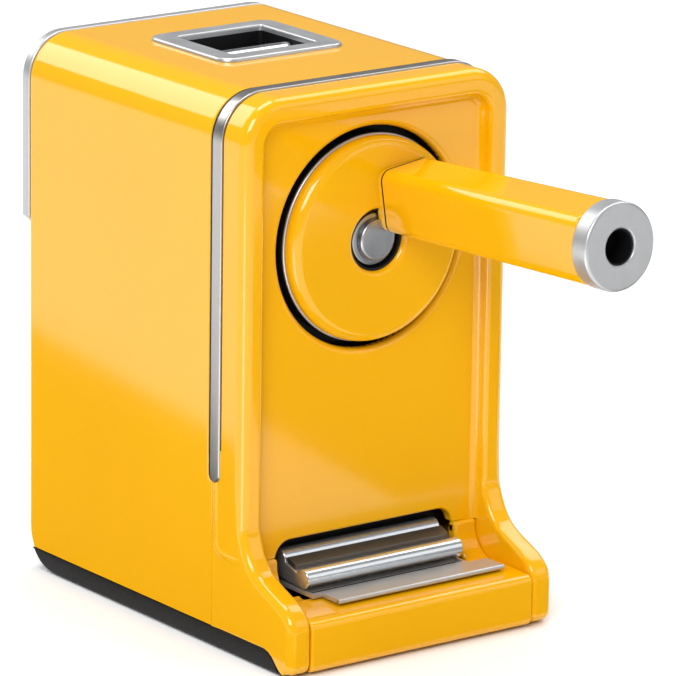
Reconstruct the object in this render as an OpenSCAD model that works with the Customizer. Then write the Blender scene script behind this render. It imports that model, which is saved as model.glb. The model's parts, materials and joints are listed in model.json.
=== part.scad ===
// Crank pencil sharpener: a desk sharpener with a front crank disc, twin helical cutters,
// a spring-loaded rear feed carriage, a point selector in the top and a shavings drawer.
// Millimetres. +Z is up, the crank faces -Y, and the origin is on the table under the
// middle of the housing.

/* [Housing] */
// Width of the housing
body_w = 70; // [64:1:84]
// Height of the housing above the table
body_h = 120; // [112:1:146]
// Length from the front of the foot to the rear edge of the casing
body_len = 98; // [90:1:120]
// Radius of the two long top edges
corner_r = 10; // [8:0.5:12]
// Wall of the casing
wall = 2; // [1.5:0.1:2.4]
// How far the foot stands out in front of the rim
foot_reach = 18; // [15:0.5:22]
// Height of the black base at the sides
base_h = 4.7; // [4:0.1:6]

/* [Front cover] */
// Depth of the front cover, from its rim to the casing
cover_depth = 11.8; // [10:0.1:14]
// Width of the raised rim
rim_w = 5.5; // [4.5:0.1:7]
// Depth of the panel below the rim
panel_sink = 3; // [2:0.1:4]
// Width of the bright trim band
trim_w = 4; // [3:0.1:5]
// Height of the trim band's lower ends
trim_end_z = 36.7; // [32:0.1:44]

/* [Crank] */
// Distance of the spindle below the top
spindle_drop = 33.7; // [31:0.1:38]
// Radius of the crank disc
disc_r = 22.4; // [18.5:0.1:27]
// Distance of the grip's axle from the spindle
crank_throw = 11.5; // [10.6:0.1:12.5]
// Angle of the grip's place on the disc, from +X towards +Z
grip_angle = 51; // [30:1:70]
// Outward lean of the grip's axle
grip_splay = 3; // [0:0.5:4]
// Turn of the square grip about its own axle at rest
grip_roll = 7; // [-45:1:45]
// Width of the square grip across its flats
grip_w = 14.4; // [11.5:0.1:17]
// Length of the grip with its end cap
grip_len = 68.2; // [50:0.1:80]
// Radius of the grip's end cap
ferrule_r = 9.3; // [7.2:0.1:10.5]

/* [Cutter head] */
// Radius of the helical cutters
cutter_r = 5.9; // [5.5:0.05:5.95]
// Tilt of the cutters, which is half the pencil point's angle
cutter_tilt = 10; // [9:0.5:10.5]
// Teeth of the fixed ring gear
ring_teeth = 32; // [32:2:32]
// Teeth of each cutter pinion
pinion_teeth = 10; // [10:1:10]
// Radius of the spindle in its bush
spindle_r = 4; // [3.4:0.1:4.8]

/* [Pencil feed] */
// Radius of the pencil port
port_r = 4.6; // [4:0.1:5.6]
// Thickness of the feed plate
feed_t = 2.8; // [2.4:0.1:3.2]
// Radius of the guide rods
rod_r = 2.5; // [2:0.1:3]
// Distance of each guide rod from the middle
rod_x = 26.5; // [26:0.1:27]

/* [Drawer] */
// Half width of the drawer tray
tray_hw = 22.6; // [20:0.1:23]
// Gap behind the drawer tray
tray_gap = 8; // [5:1:20]
// Wall of the drawer tray
tray_t = 1.4; // [1.2:0.1:2]

/* [Hidden] */
$fn = 64;
eps = 0.01;
fit = 0.05;       // radial clearance of a running fit
slip = 0.2;       // gap between pieces that slide past each other

yellow = "gold";
chrome = "silver";
steel = "lightsteelblue";
black = "dimgray";

half_w = body_w/2;
rear_y = body_len/2;                 // rear edge of the casing
foot_y = -body_len/2;                // front of the foot
rim_y = foot_y + foot_reach;         // front of the raised rim
panel_y = rim_y + panel_sink;        // front of the sunk panel
panel_t = 2;
case_y = rim_y + cover_depth;        // front edge of the casing
seam_z = 22;                         // joint between the cover's rails and the cheeks
seam_gap = 0.4;
cheek_t = 5.2;                       // thickness of the cheeks beside the foot
axis_z = body_h - spindle_drop;      // height of the spindle
ground = 0.6;                        // clearance under the housing, taken up by the feet
rear_round = 9;                      // radius of the lower rear edge
toe_top = 12.4;                      // top of the foot under the drawer front
drawer_top = 23;                     // top of the drawer opening

frame_y = case_y + 2.2;    // front of the mechanism frame
frame_t = 3;
carrier_front = frame_y + frame_t + 1.8;
rear_t = 3.2;
rear_in = rear_y - 0.3;              // outside face of the rear cover
rod_z = axis_z + 17.7;

// The pencil's cone is full width at cone_y and narrows towards the crank.
pencil_r = 3.75;
cutter_len = 23;
cone_y = carrier_front + 26.6;
axis_off = pencil_r + cutter_r/cos(cutter_tilt);
pinion_s = 5.6;       // pinion's near end along the cutter's axis
pinion_t = 3.2;
module_mm = 1;
ring_y = cone_y + 4.5;

// ---------- plane outlines ----------

// Points of an arc round c, from angle a0 to a1 in n steps.
function arc(c, r, a0, a1, n=8) =
    [for (i = [0:n]) c + r*[cos(a0 + (a1 - a0)*i/n), sin(a0 + (a1 - a0)*i/n)]];

// Inverted U outline with two round top corners.
module arch(w, h, r, z0=0) {
    translate([-w/2, z0]) square([w, h - r - z0]);
    translate([-w/2 + r, z0]) square([w - 2*r, h - z0]);
    for (s = [-1, 1]) translate([s*(w/2 - r), h - r]) circle(r);
}

module round_rect(w, h, r) {
    translate([-w/2 + r, -h/2]) square([w - 2*r, h]);
    translate([-w/2, -h/2 + r]) square([w, h - 2*r]);
    for (x = [-1, 1], y = [-1, 1]) translate([x*(w/2 - r), y*(h/2 - r)]) circle(r);
}

// Extrudes an XZ outline along +Y, from y0 over length l.
module along_y(y0, l) {
    translate([0, y0 + l, 0]) rotate([90, 0, 0]) linear_extrude(l) children();
}

// Extrudes a YZ outline along +X, from x0 over length l.
module along_x(x0, l) {
    translate([x0, 0, 0]) rotate([90, 0, 90]) linear_extrude(l) children();
}

// Places its children with local +Z along row +Y, on the spindle axis.
module on_spindle(y=0) {
    translate([0, y, axis_z]) rotate([-90, 0, 0]) children();
}

// Cylinder along +Y.
module rod(x, z, y0, l, r) {
    translate([x, y0, z]) rotate([-90, 0, 0]) cylinder(r=r, h=l);
}

// ---------- housing ----------

// Top edge of a cheek: a hollow sweep from the rim down to the foot's top, then a round nose.
flare_top = seam_z + 6.5;
flare = [[0, flare_top - seam_z], [0.07, 2.6], [0.145, -0.4], [0.255, -2.4], [0.42, -3.9],
    [0.67, -5.8], [0.83, -7.1], [0.92, -8.6], [0.98, -10], [1, -11.6]];
cheek_top = [for (p = flare) [rim_y - p[0]*foot_reach, seam_z + p[1]]];
cheek_bottom = concat(arc([foot_y + 2.2, ground + 2.2], 2.2, 180, 270, 5),
    [[foot_y + 3, ground], [foot_y + 4.4, ground + 0.9], [foot_y + 6.4, ground + 2.9],
     [foot_y + 8.4, base_h]]);

// Side outline of the cheek, with the wall behind it up to the casing's front edge.
module cheek_side() {
    polygon(concat(cheek_top, cheek_bottom, [[case_y + 6, base_h], [case_y + 6, seam_z],
        [rim_y, seam_z]]));
}

module rear_lower_round(z0) {
    difference() {
        translate([rear_y - rear_round, z0 - 1]) square([rear_round + 1, rear_round + ground - z0 + 1]);
        translate([rear_y - rear_round, ground + rear_round]) circle(rear_round);
    }
}

well_x = 32.6;        // outside of the bezel, across
well_y = 29.6;        // outside of the bezel, front to rear
well_mid = rear_y - 32; // middle of the well
well_wall = 5;        // flange width of the bezel at the sides
well_in_x = well_x - 2*well_wall;
well_in_y = well_y - 9;
skirt_x = well_in_x + 5;
skirt_y = well_in_y + 4.2;

module casing() color(yellow) difference() {
    union() {
        difference() {
            along_y(case_y, rear_y - case_y) arch(body_w, body_h, corner_r, base_h);
            along_y(case_y - 1, rear_y - case_y + 2)
                arch(body_w - 2*wall, body_h - wall, corner_r - wall, base_h - 1);
        }
        for (s = [-1, 1]) along_x(s > 0 ? half_w - cheek_t : -half_w, cheek_t)
            difference() {
                cheek_side();
                translate([rim_y - 20, seam_z]) square([60, 20]);
            }
    }
    // room for the cover's spigot and the side rails above the seam
    translate([0, 0, body_h - 4]) linear_extrude(10) translate([0, well_mid])
        round_rect(skirt_x + 0.3, skirt_y + 0.3, 2);
    along_x(-half_w - 1, body_w + 2) rear_lower_round(base_h);
    for (s = [-1, 1]) translate([s*(half_w - wall) - (s > 0 ? cheek_t : 0), case_y - eps, base_h - 1])
        cube([cheek_t, 20, seam_z]);
}

drawer_hw = 23.6;     // half width of the drawer opening
drawer_r = 4;         // its top corners

module drawer_mouth(y0, l, z0) {
    along_y(y0, l) {
        translate([-drawer_hw, z0]) square([2*drawer_hw, drawer_top - drawer_r - z0]);
        translate([-drawer_hw + drawer_r, z0]) square([2*(drawer_hw - drawer_r), drawer_top - z0]);
        for (s = [-1, 1]) translate([s*(drawer_hw - drawer_r), drawer_top - drawer_r]) circle(drawer_r);
    }
}

dish_r = disc_r + 1.6; // round recess that the disc turns in
dish_floor = panel_y + 6.5;
dish_t = 2;
dish_lip = 1.2;        // yellow edge of the recess, in front of its black lining
liner_t = 0.8;
dish_hole_r = 8.6;     // hole in the dish's floor for the spacer
panel_top = body_h - 6;
panel_foot = 19.6;    // lower edge of the panel
spigot = 6;           // length of the spigot inside the casing
bolt_r = 1.5;
boss_r = 3.2;
bolt_places = concat([for (s = [-1, 1]) [s*(half_w - 15), body_h - 5.5]],
    [for (s = [-1, 1]) [s*(half_w - 5.8), 30]]);
frame_w = body_w - 9;
frame_h = 50;
frame_screw_places = [for (x = [-1, 1], z = [-1, 1]) [x*(half_w - 8), axis_z + z*(frame_h/2 - 4.7)]];

module rail_side() {
    polygon([cheek_top[0], cheek_top[1], [cheek_top[2][0], seam_z + 0.2],
        [case_y - seam_gap, seam_z + 0.2], [case_y - seam_gap, flare_top]]);
}

module trim_side(grow) {
    translate([case_y - trim_w - grow, trim_end_z + trim_w/2])
        square([trim_w + grow, body_h]);
    translate([case_y - trim_w/2, trim_end_z + trim_w/2]) circle(trim_w/2 + grow);
}

module front_cover() color(yellow) difference() {
    union() {
        // raised rim and side rails
        difference() {
            along_y(rim_y, case_y - seam_gap - rim_y) arch(body_w, body_h, corner_r, seam_z + 0.2);
            along_y(rim_y - 1, panel_sink + 1) arch(body_w - 2*rim_w, panel_top, 5, 0);
            along_y(panel_y + panel_t, cover_depth)
                arch(body_w - 2*wall - 2, body_h - wall - 1, corner_r - wall - 1, 0);
        }
        for (s = [-1, 1]) along_x(s > 0 ? half_w - rim_w : -half_w, rim_w) rail_side();
        // sunk panel below the rails
        along_y(panel_y, panel_t) translate([-half_w + rim_w, panel_foot])
            square([body_w - 2*rim_w, 20]);
        // spigot inside the casing
        difference() {
            along_y(panel_y + panel_t, case_y + spigot - panel_y - panel_t)
                arch(body_w - 2*wall - 0.4, body_h - wall - 0.2, corner_r - wall - 0.2, seam_z + 0.2);
            along_y(panel_y + panel_t - 1, 40)
                arch(body_w - 2*wall - 4, body_h - wall - 2, corner_r - wall - 2, 0);
        }
        // dish behind the crank disc
        rod(0, axis_z, panel_y, dish_floor + dish_t - panel_y, dish_r + 2);
        // bosses
        for (p = bolt_places) rod(p[0], p[1], panel_y + panel_t - eps, 10, boss_r);
        for (p = frame_screw_places)
            rod(p[0], p[1], panel_y + panel_t - eps, frame_y - panel_y - panel_t, boss_r);
    }
    rod(0, axis_z, rim_y - 1, panel_sink + dish_lip + 2, dish_r);
    rod(0, axis_z, panel_y + dish_lip, dish_floor - panel_y - dish_lip, dish_r + liner_t + 0.02);
    rod(0, axis_z, dish_floor - 1, dish_t + 2, dish_hole_r);
    drawer_mouth(rim_y - 5, 20, 0);
    for (p = bolt_places) rod(p[0], p[1], panel_y + panel_t + 1, 20, bolt_r + 0.02);
    for (p = frame_screw_places) rod(p[0], p[1], panel_y + panel_t + 1, 20, bolt_r + 0.02);
    // groove for the trim band
    intersection() {
        along_x(-half_w - 5, body_w + 10) trim_side(0.1);
        difference() {
            along_y(rim_y, cover_depth + 5) arch(body_w + 4, body_h + 2, corner_r + 2, 0);
            along_y(rim_y - 1, cover_depth + 7)
                arch(body_w - 2.6, body_h - 1.3, corner_r - 1.3, -1);
        }
    }
}

// A black cup pressed into the dish from behind the lip.
module dish_liner() color(black) difference() {
    rod(0, axis_z, panel_y + dish_lip, dish_floor - panel_y - dish_lip, dish_r + liner_t);
    rod(0, axis_z, panel_y, dish_floor - liner_t - panel_y, dish_r);
    rod(0, axis_z, panel_y, 20, dish_hole_r);
}

module trim_band() color(chrome) intersection() {
    along_x(-half_w - 5, body_w + 10) trim_side(0);
    difference() {
        along_y(case_y - trim_w, trim_w) arch(body_w + 0.7, body_h + 0.35, corner_r + 0.35, 0);
        along_y(case_y - trim_w - 1, trim_w + 2)
            arch(body_w - 2.4, body_h - 1.2, corner_r - 1.2, -1);
    }
}

toe_hw = half_w - cheek_t - 0.2;
toe_t = 2.4;
toe_skin = concat([[panel_y + panel_t, panel_foot - 0.2], [panel_y - 0.8, panel_foot - 0.2]],
    arc([panel_y - 7.4, panel_foot - 0.6], 6.4, 0, -82, 7),
    [[foot_y + 5, toe_top - 0.4], [foot_y + 1.5, toe_top - 0.9]],
    arc([foot_y + 1.5, toe_top - 2.4], 1.5, 90, 180, 5),
    arc([foot_y + 1.5, ground + 1.5], 1.5, 180, 270, 4),
    [[foot_y + 5, ground], [foot_y + 5, ground + toe_t], [foot_y + toe_t + 0.6, ground + toe_t],
     [foot_y + toe_t, ground + toe_t + 0.6], [foot_y + toe_t, toe_top - 4],
     [foot_y + toe_t + 0.8, toe_top - 3.4], [panel_y - 6, toe_top - 2.6],
     [panel_y + panel_t, toe_top - 2.4]]);

module toe_cover() color(yellow) difference() {
    along_x(-toe_hw, 2*toe_hw) polygon(toe_skin);
    translate([-drawer_hw, panel_y - 9, toe_top]) cube([2*drawer_hw, 20, 20]);
    // finger slot under the drawer front
    translate([-front_hw + 0.6, slot_y, toe_top - 3]) cube([2*front_hw - 1.2, slot_w, 4]);
}

rear_cover_hw = half_w - wall - 0.15;

module rear_cover() color(black) difference() {
    along_y(rear_in - rear_t, rear_t)
        arch(2*rear_cover_hw, body_h - wall - 0.15, corner_r - wall - 0.15, base_h + 0.2);
    along_x(-half_w - 1, body_w + 2) rear_lower_round(base_h);
    rod(0, axis_z, rear_in - 10, 20, port_r + 1.4);
    for (s = [-1, 1]) rod(s*rod_x, rod_z, rear_in - 10, 20, rod_r + 1.5);
    for (p = bolt_places) {
        rod(p[0], p[1], rear_in - 10, 20, bolt_r + 0.1);
        rod(p[0], p[1], rear_in - 1.8, 5, 3);
    }
}

base_side = concat(arc([rear_y - rear_round, ground + rear_round], rear_round,
        -asin((ground + rear_round - base_h)/rear_round), -90, 7),
    [[foot_y + 3.6, ground], [foot_y + 4.8, ground + 0.9], [foot_y + 6.8, ground + 2.9],
     [foot_y + 8.7, base_h - 0.05]]);
foot_places = [for (x = [-1, 1], y = [foot_y + 15, rear_y - 16]) [x*(half_w - 12), y]];
foot_r = 6;
foot_t = 2.4;
pad_r = 13;
base_screw_places = [for (x = [-1, 1], y = [foot_y + 35, rear_y - 29]) [x*(half_w - 6), y]];

module base_plate() color(black) difference() {
    along_x(-half_w, body_w) polygon([for (p = base_side) [p[0], min(p[1], base_h - 0.05)]]);
    for (p = foot_places) translate([p[0], p[1], -1]) cylinder(r=foot_r + fit, h=foot_t + 1);
    translate([0, 0, -1]) cylinder(r=pad_r + fit, h=foot_t + 1);
    for (p = base_screw_places) translate([p[0], p[1], -1]) {
        cylinder(r=bolt_r + 0.05, h=20);
        cylinder(r=3, h=3);
    }
    // room for the toe cover's lower edge
    translate([-toe_hw - 0.2, foot_y, -1]) cube([2*toe_hw + 0.4, 5.2, 4.3]);
}

module rubber_feet() color("darkslategray") for (p = foot_places)
    translate([p[0], p[1], 0]) cylinder(r=foot_r, h=foot_t);

// A larger non-slip pad under the middle of the housing.
module grip_pad() color("darkslategray") cylinder(r=pad_r, h=foot_t);

deck_z = 10.6;
deck_t = 1.8;
deck_hw = half_w - wall - 0.3;

module base_screws() color(steel) for (p = base_screw_places) translate([p[0], p[1], 0]) {
    translate([0, 0, ground + 0.3]) cylinder(r=2.8, h=1.1);
    translate([0, 0, ground + 0.3]) cylinder(r=bolt_r, h=deck_z - 2);
}

ballast_y = [rear_y - 55, rear_y - 18];
ballast_hw = half_w - 11;
module ballast_plate() color("slategray") translate([-ballast_hw, ballast_y[0], base_h])
    cube([2*ballast_hw, ballast_y[1] - ballast_y[0], deck_z - base_h - 0.2]);

module drawer_deck() color(black) difference() {
    union() {
        translate([-deck_hw, panel_y + panel_t + 0.2, deck_z])
            cube([2*deck_hw, rear_in - rear_t - panel_y - panel_t - 0.6, deck_t]);
        for (s = [-1, 1]) translate([s*rail_x - (s < 0 ? rail_t : 0), case_y + spigot + 2, deck_z])
            cube([rail_t, tray_len - 12, 6]);
        for (p = base_screw_places) translate([p[0], p[1], base_h])
            cylinder(r=3.4, h=deck_z - base_h + eps);
    }
    for (p = base_screw_places) translate([p[0], p[1], base_h - 1])
        cylinder(r=bolt_r + 0.02, h=deck_z - base_h + 0.6);
    // the cheeks stand beside the deck's front end
    for (s = [-1, 1]) translate([s*half_w - (s > 0 ? cheek_t + 0.3 : 0), rim_y, base_h])
        cube([cheek_t + 0.3, case_y - rim_y + 0.3, 20]);
}

hop_top = axis_z - 25.3;             // wide mouth, under the cutter head
hop_foot = drawer_top + 0.6;         // narrow end, over the tray
hop_y = [cone_y - 25.4, cone_y + 10.6];
hop_t = 1.2;
hop_hw = half_w - wall - 3;
rail_t = 1.6;                        // rails that guide the tray
rail_x = tray_hw + slip;

// A funnel, shrunk by inset on its sides and stretched by over at its ends.
module hopper_shape(inset, over) hull() {
    translate([-hop_hw + inset, hop_y[0] + inset, hop_top + over])
        cube([2*(hop_hw - inset), hop_y[1] - hop_y[0] - 2*inset, eps]);
    translate([-rail_x - rail_t - 0.4 + inset, hop_y[0] + inset, hop_foot - over])
        cube([2*(rail_x + rail_t + 0.4 - inset), hop_y[1] - hop_y[0] - 2*inset, eps]);
}

// The funnel stands on the deck by four legs outside the tray's rails.
module shavings_hopper() color(black) {
    difference() {
        hopper_shape(0, 0);
        hopper_shape(hop_t, 0.1);
    }
    for (x = [-1, 1], y = [hop_y[0] + 3, hop_y[1] - 9])
        translate([x*(rail_x + rail_t + 0.4) - (x < 0 ? 2.4 : 0), y, deck_z + deck_t])
            cube([2.4, 6, hop_foot - deck_z - deck_t + 3]);
}

bezel_h = 0.9;
well_floor_z = body_h - 6.8;
module top_bezel() color(chrome) translate([0, well_mid, 0]) difference() {
    union() {
        translate([0, 0, body_h]) linear_extrude(bezel_h) round_rect(well_x, well_y, 3.5);
        translate([0, 0, well_floor_z]) linear_extrude(body_h - well_floor_z + eps)
            round_rect(skirt_x, skirt_y, 1.9);
    }
    translate([0, 0, well_floor_z - 1]) linear_extrude(20) round_rect(well_in_x, well_in_y, 1.2);
}

sel_throw = 3.5;      // travel of the selector to each side
sel_post = 3;
module well_floor() color(black) difference() {
    translate([0, well_mid, well_floor_z - 1.2]) linear_extrude(1.2)
        round_rect(skirt_x, skirt_y, 1.9);
    for (s = [-1, 1]) translate([s*7, well_mid, well_floor_z])
        cube([sel_post + 0.5, sel_post + 2*sel_throw + 0.6, 10], center=true);
}

// A bar with a round crest and a long slope towards the crank.
module selector_bar() color(chrome) along_x(-well_in_x/2 + 0.3, well_in_x - 0.6)
    polygon(concat([[well_mid - 6.3, well_floor_z + 0.3], [well_mid + 2.5, well_floor_z + 0.3]],
        arc([well_mid, well_floor_z + 3.3], 2.5, 0, 125, 12),
        [[well_mid - 6.3, well_floor_z + 0.9]]));

slide_z = well_floor_z - 1.2 - 1.3;
slide_t = 1.1;
rod_front = rear_y - 47; // front end of the guide rods at rest
slide_y = rod_front - sel_throw - 3.6;
module selector_slide() color(steel) {
    for (s = [-1, 1]) translate([s*7 - sel_post/2, well_mid - sel_post/2, slide_z + slide_t - eps])
        cube([sel_post, sel_post, well_floor_z + 0.3 - slide_z - slide_t + eps]);
    translate([-9.5, slide_y, slide_z]) cube([19, well_mid + 1.9 - slide_y, slide_t]);
    translate([-rod_x - 2.5, slide_y, slide_z]) cube([2*rod_x + 5, 3.2, slide_t]);
    for (s = [-1, 1]) translate([s*rod_x - 2.5, slide_y, rod_z - 3])
        cube([5, 3.2, slide_z - rod_z + 3 + eps]);
}

// ---------- mechanism frame ----------

tie_radius = 23.2;
tie_r = 2.2;
tie_places = [for (a = [45:90:315]) [tie_radius*cos(a), axis_z + tie_radius*sin(a)]];
bush_r = 6.5;

module frame_front() color(steel) difference() {
    along_y(frame_y, frame_t) translate([0, axis_z]) round_rect(frame_w, frame_h, 4);
    rod(0, axis_z, frame_y - 1, 10, bush_r);
    for (p = frame_screw_places) rod(p[0], p[1], frame_y - 1, 10, bolt_r + 0.1);
    for (p = tie_places) rod(p[0], p[1], frame_y - 1, 10, tie_r - 0.6);
}

module frame_screws() color(steel) for (p = frame_screw_places) {
    rod(p[0], p[1], frame_y + frame_t, 1.6, 2.7);
    rod(p[0], p[1], frame_y - 6, 6 + frame_t + eps, bolt_r);
}

module spindle_bush() color("darkgoldenrod") difference() {
    union() {
        rod(0, axis_z, frame_y, frame_t + 1.2, bush_r);
        rod(0, axis_z, frame_y - 1.8, 1.8, 8);
    }
    rod(0, axis_z, frame_y - 5, 20, spindle_r + fit);
}

ring_t = 5.3;
ring_r = 19.4;
gear_plate_r = 24;

// Involute flank from radius r0 to r1 on base radius rb, as polar [radius, angle].
function inv_angle(rb, r) = r <= rb ? 0 : tan(acos(rb/r))*180/PI - acos(rb/r);
function flank(rb, r0, r1, n) = [for (i = [0:n]) let (r = r0 + (r1 - r0)*i/n) [r, inv_angle(rb, r)]];

// Outline of a gear with involute teeth, their thickness changed by extra at the pitch circle.
module gear_outline(teeth, r_foot, r_tip, extra) {
    rp = teeth*module_mm/2;
    rb = rp*cos(20);
    half = 90/teeth + inv_angle(rb, rp) + extra/(2*rp)*180/PI;
    side = flank(rb, r_foot, r_tip, 5);
    polygon([for (k = [0:teeth - 1]) let (a = k*360/teeth) each concat(
        [for (p = side) p[0]*[cos(a - half + p[1]), sin(a - half + p[1])]],
        [for (i = [5:-1:0]) let (p = side[i]) p[0]*[cos(a + half - p[1]), sin(a + half - p[1])]])]);
}

module ring_gear() color("darkgoldenrod") on_spindle(ring_y) difference() {
    cylinder(r=ring_r, h=ring_t);
    translate([0, 0, -1]) linear_extrude(ring_t + 2)
        gear_outline(ring_teeth, ring_teeth/2 - 0.8, ring_teeth/2 + 1.5, 0.1);
}

module frame_rear() color(steel) difference() {
    union() {
        rod(0, axis_z, ring_y, ring_t + 2, gear_plate_r);
        for (p = tie_places) rod(p[0], p[1], ring_y, ring_t + 2, 4.2);
    }
    rod(0, axis_z, ring_y - 1, ring_t + 1, ring_r + 0.02);
    rod(0, axis_z, ring_y - 1, 20, 15.5);
    for (p = tie_places) rod(p[0], p[1], ring_y - 1, 20, tie_r - 0.6);
}

module tie_rods() color(steel) for (p = tie_places) {
    rod(p[0], p[1], frame_y + frame_t, ring_y - frame_y - frame_t, tie_r);
    rod(p[0], p[1], frame_y + 0.2, ring_y + ring_t + 1.6 - frame_y, tie_r - 0.65);
}

module pencil_guide() color(black) difference() {
    union() {
        rod(0, axis_z, ring_y + ring_t + 2.6, rear_in - rear_t - ring_y - ring_t - 2.6, port_r + 2.4);
        rod(0, axis_z, rear_in - rear_t - eps, rear_t - 0.3, port_r + 1.35);
    }
    rod(0, axis_z, ring_y, 60, port_r);
}

module rod_bushes() color("darkgoldenrod") for (s = [-1, 1]) difference() {
    union() {
        rod(s*rod_x, rod_z, rear_in - rear_t, rear_t - 0.2, rod_r + 1.48);
        rod(s*rod_x, rod_z, rear_in - rear_t - 1.2, 1.2, rod_r + 2.3);
    }
    rod(s*rod_x, rod_z, rear_in - 10, 20, rod_r + fit);
}

module case_bolts() color(steel) for (p = bolt_places) {
    rod(p[0], p[1], rear_in - 1.7, 1.5, 2.9);
    rod(p[0], p[1], panel_y + panel_t + 2, rear_in - 1.6 - panel_y - panel_t - 2, bolt_r);
}

// ---------- crank ----------

disc_t = 3.2;
disc_y = rim_y;
ring_back = disc_y + disc_t + 0.8;
drum_back = dish_floor - liner_t - 0.7;
hub_hole_r = 7.3;

// Places its children on the grip's axle: local +Z runs out along the axle from the disc's face.
module on_axle() {
    translate([crank_throw*cos(grip_angle), disc_y, axis_z + crank_throw*sin(grip_angle)])
        rotate([0, -grip_angle, 0]) rotate([90, 0, 0]) rotate([0, grip_splay, 0])
        rotate([0, 0, grip_roll - grip_angle]) children();
}

module grip_square(w, r) {
    round_rect(w, w, r);
}

seat_h = 1.0;
grip_gap = 0.25;
grip_start = seat_h + grip_gap;
axle_r = 3;

module crank_disc() color(yellow) difference() {
    union() {
        rod(0, axis_z, disc_y, disc_t, disc_r);
        intersection() {
            on_axle() translate([0, 0, -1.5]) linear_extrude(seat_h + 1.5) grip_square(grip_w, 2.2);
            rod(0, axis_z, disc_y - 10, 10 + disc_t, disc_r);
        }
    }
    rod(0, axis_z, disc_y + 0.5, disc_t + 1, hub_hole_r);
    rod(0, axis_z, disc_y - 3, 3.6, hub_hole_r);
    on_axle() translate([0, 0, -10]) cylinder(r=axle_r - 0.5, h=20);
}

module disc_edge_ring() color(chrome) difference() {
    rod(0, axis_z, disc_y + disc_t, 0.8, disc_r + 0.1);
    rod(0, axis_z, disc_y, 10, disc_r - 1.5);
}

module disc_drum() color(black) difference() {
    union() {
        rod(0, axis_z, disc_y + disc_t, 0.8, disc_r - 1.55);
        rod(0, axis_z, ring_back, drum_back - ring_back, disc_r - 0.2);
    }
    rod(0, axis_z, disc_y, 20, spindle_r);
    on_axle() translate([0, 0, -20]) cylinder(r=axle_r - 0.5, h=30);
    // pocket for the axle's nut
    on_axle() translate([0, 0, -20]) cylinder(r=5, h=20 - disc_t - 2.2);
}

module hub_nut() color(chrome) difference() {
    union() {
        rod(0, axis_z, disc_y + 1.6, disc_t - 1.6, 5.8);
        rod(0, axis_z, disc_y + 0.1, 1.6, 4.45);
    }
    rod(0, axis_z, disc_y + 1, 10, 2.5);
}

module spindle() color(steel) difference() {
    union() {
        rod(0, axis_z, disc_y + 1.4, disc_t, 2.48);
        rod(0, axis_z, disc_y + disc_t, carrier_front - disc_y - disc_t, spindle_r - eps);
        rod(0, axis_z, carrier_front - eps, 3.4, 3);
    }
    drive_pin_hole();
}

module drive_pin_hole() {
    translate([0, carrier_front + 1.8, axis_z]) cylinder(r=1, h=60, center=true);
}

module spindle_spacer() color(steel) difference() {
    rod(0, axis_z, drum_back, frame_y - 1.8 - 0.1 - drum_back, 6);
    rod(0, axis_z, drum_back - 1, 10, spindle_r + 0.02);
}

module drive_pin() color(steel) translate([0, carrier_front + 1.8, axis_z])
    cylinder(r=0.98, h=22, center=true);

module grip_axle() color(steel) on_axle() {
    translate([0, 0, seat_h + 0.05]) cylinder(r=axle_r, h=axle_len - seat_h - 0.05);
    translate([0, 0, -disc_t - 3.4]) cylinder(r=axle_r - 0.52, h=disc_t + 3.4 + seat_h + 0.06);
}
axle_len = grip_len - 12;

module axle_nut() color(steel) on_axle() difference() {
    translate([0, 0, -disc_t - 3.6]) cylinder(r=4.4, h=1.3, $fn=6);
    translate([0, 0, -20]) cylinder(r=axle_r - 0.5, h=40);
}

module axle_screw() color(black) on_axle() translate([0, 0, axle_len]) cylinder(r=3.6, h=1.6);

ferrule_t = 4.6;
spigot_r = 5.5;
module grip_sleeve() color(yellow) on_axle() difference() {
    translate([0, 0, grip_start]) linear_extrude(grip_len - ferrule_t - grip_start)
        grip_square(grip_w, 2.2);
    translate([0, 0, -1]) cylinder(r=axle_r + fit, h=grip_len);
    translate([0, 0, axle_len - 0.3]) cylinder(r=spigot_r + 0.03, h=grip_len);
}

module grip_ferrule() color(chrome) on_axle() difference() {
    union() {
        translate([0, 0, grip_len - ferrule_t]) cylinder(r=ferrule_r, h=ferrule_t);
        translate([0, 0, axle_len + 2.4]) cylinder(r=spigot_r, h=grip_len - ferrule_t - axle_len - 2.4 + eps);
    }
    cylinder(r=3.85, h=grip_len + 1);
}

// ---------- cutter head, in a frame with +Z along the spindle ----------

carrier_r = 12.5;
flange_r = 15;
flange_y = cone_y + 2.3;
flange_t = 1.9;
pin_r = 1.5;
sleeve_r = 3.1;

// Places its children on cutter k's axle, local +Z away from the crank, zero at the cone's base.
module on_cutter(k) {
    on_spindle(cone_y) rotate([0, 0, 180*(k - 1)]) translate([axis_off, 0, 0])
        rotate([0, cutter_tilt, 0]) children();
}

module cutter_carrier() color("darkgray") difference() {
    union() {
        on_spindle(carrier_front) cylinder(r=carrier_r, h=3.8);
        on_spindle(flange_y) cylinder(r=flange_r, h=flange_t);
        for (s = [-1, 1]) on_spindle(carrier_front) translate([-4.5, s*10.6 - 1.7, 3.8 - eps])
            cube([9, 3.4, flange_y - carrier_front - 3.8 + 2*eps]);
    }
    on_spindle(carrier_front - 1) cylinder(r=3.01, h=8);
    on_spindle(flange_y - 1) cylinder(r=port_r, h=8);
    for (k = [1, 2]) on_cutter(k) {
        translate([0, 0, -40]) cylinder(r=pin_r, h=40);
        cylinder(r=sleeve_r + 0.06, h=20);
    }
    drive_pin_hole();
}

module cutter_pins() color(steel) for (k = [1, 2]) on_cutter(k)
    translate([0, 0, -24.2]) cylinder(r=pin_r - 0.02, h=24.2 + pinion_s + pinion_t + 0.6);

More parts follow.
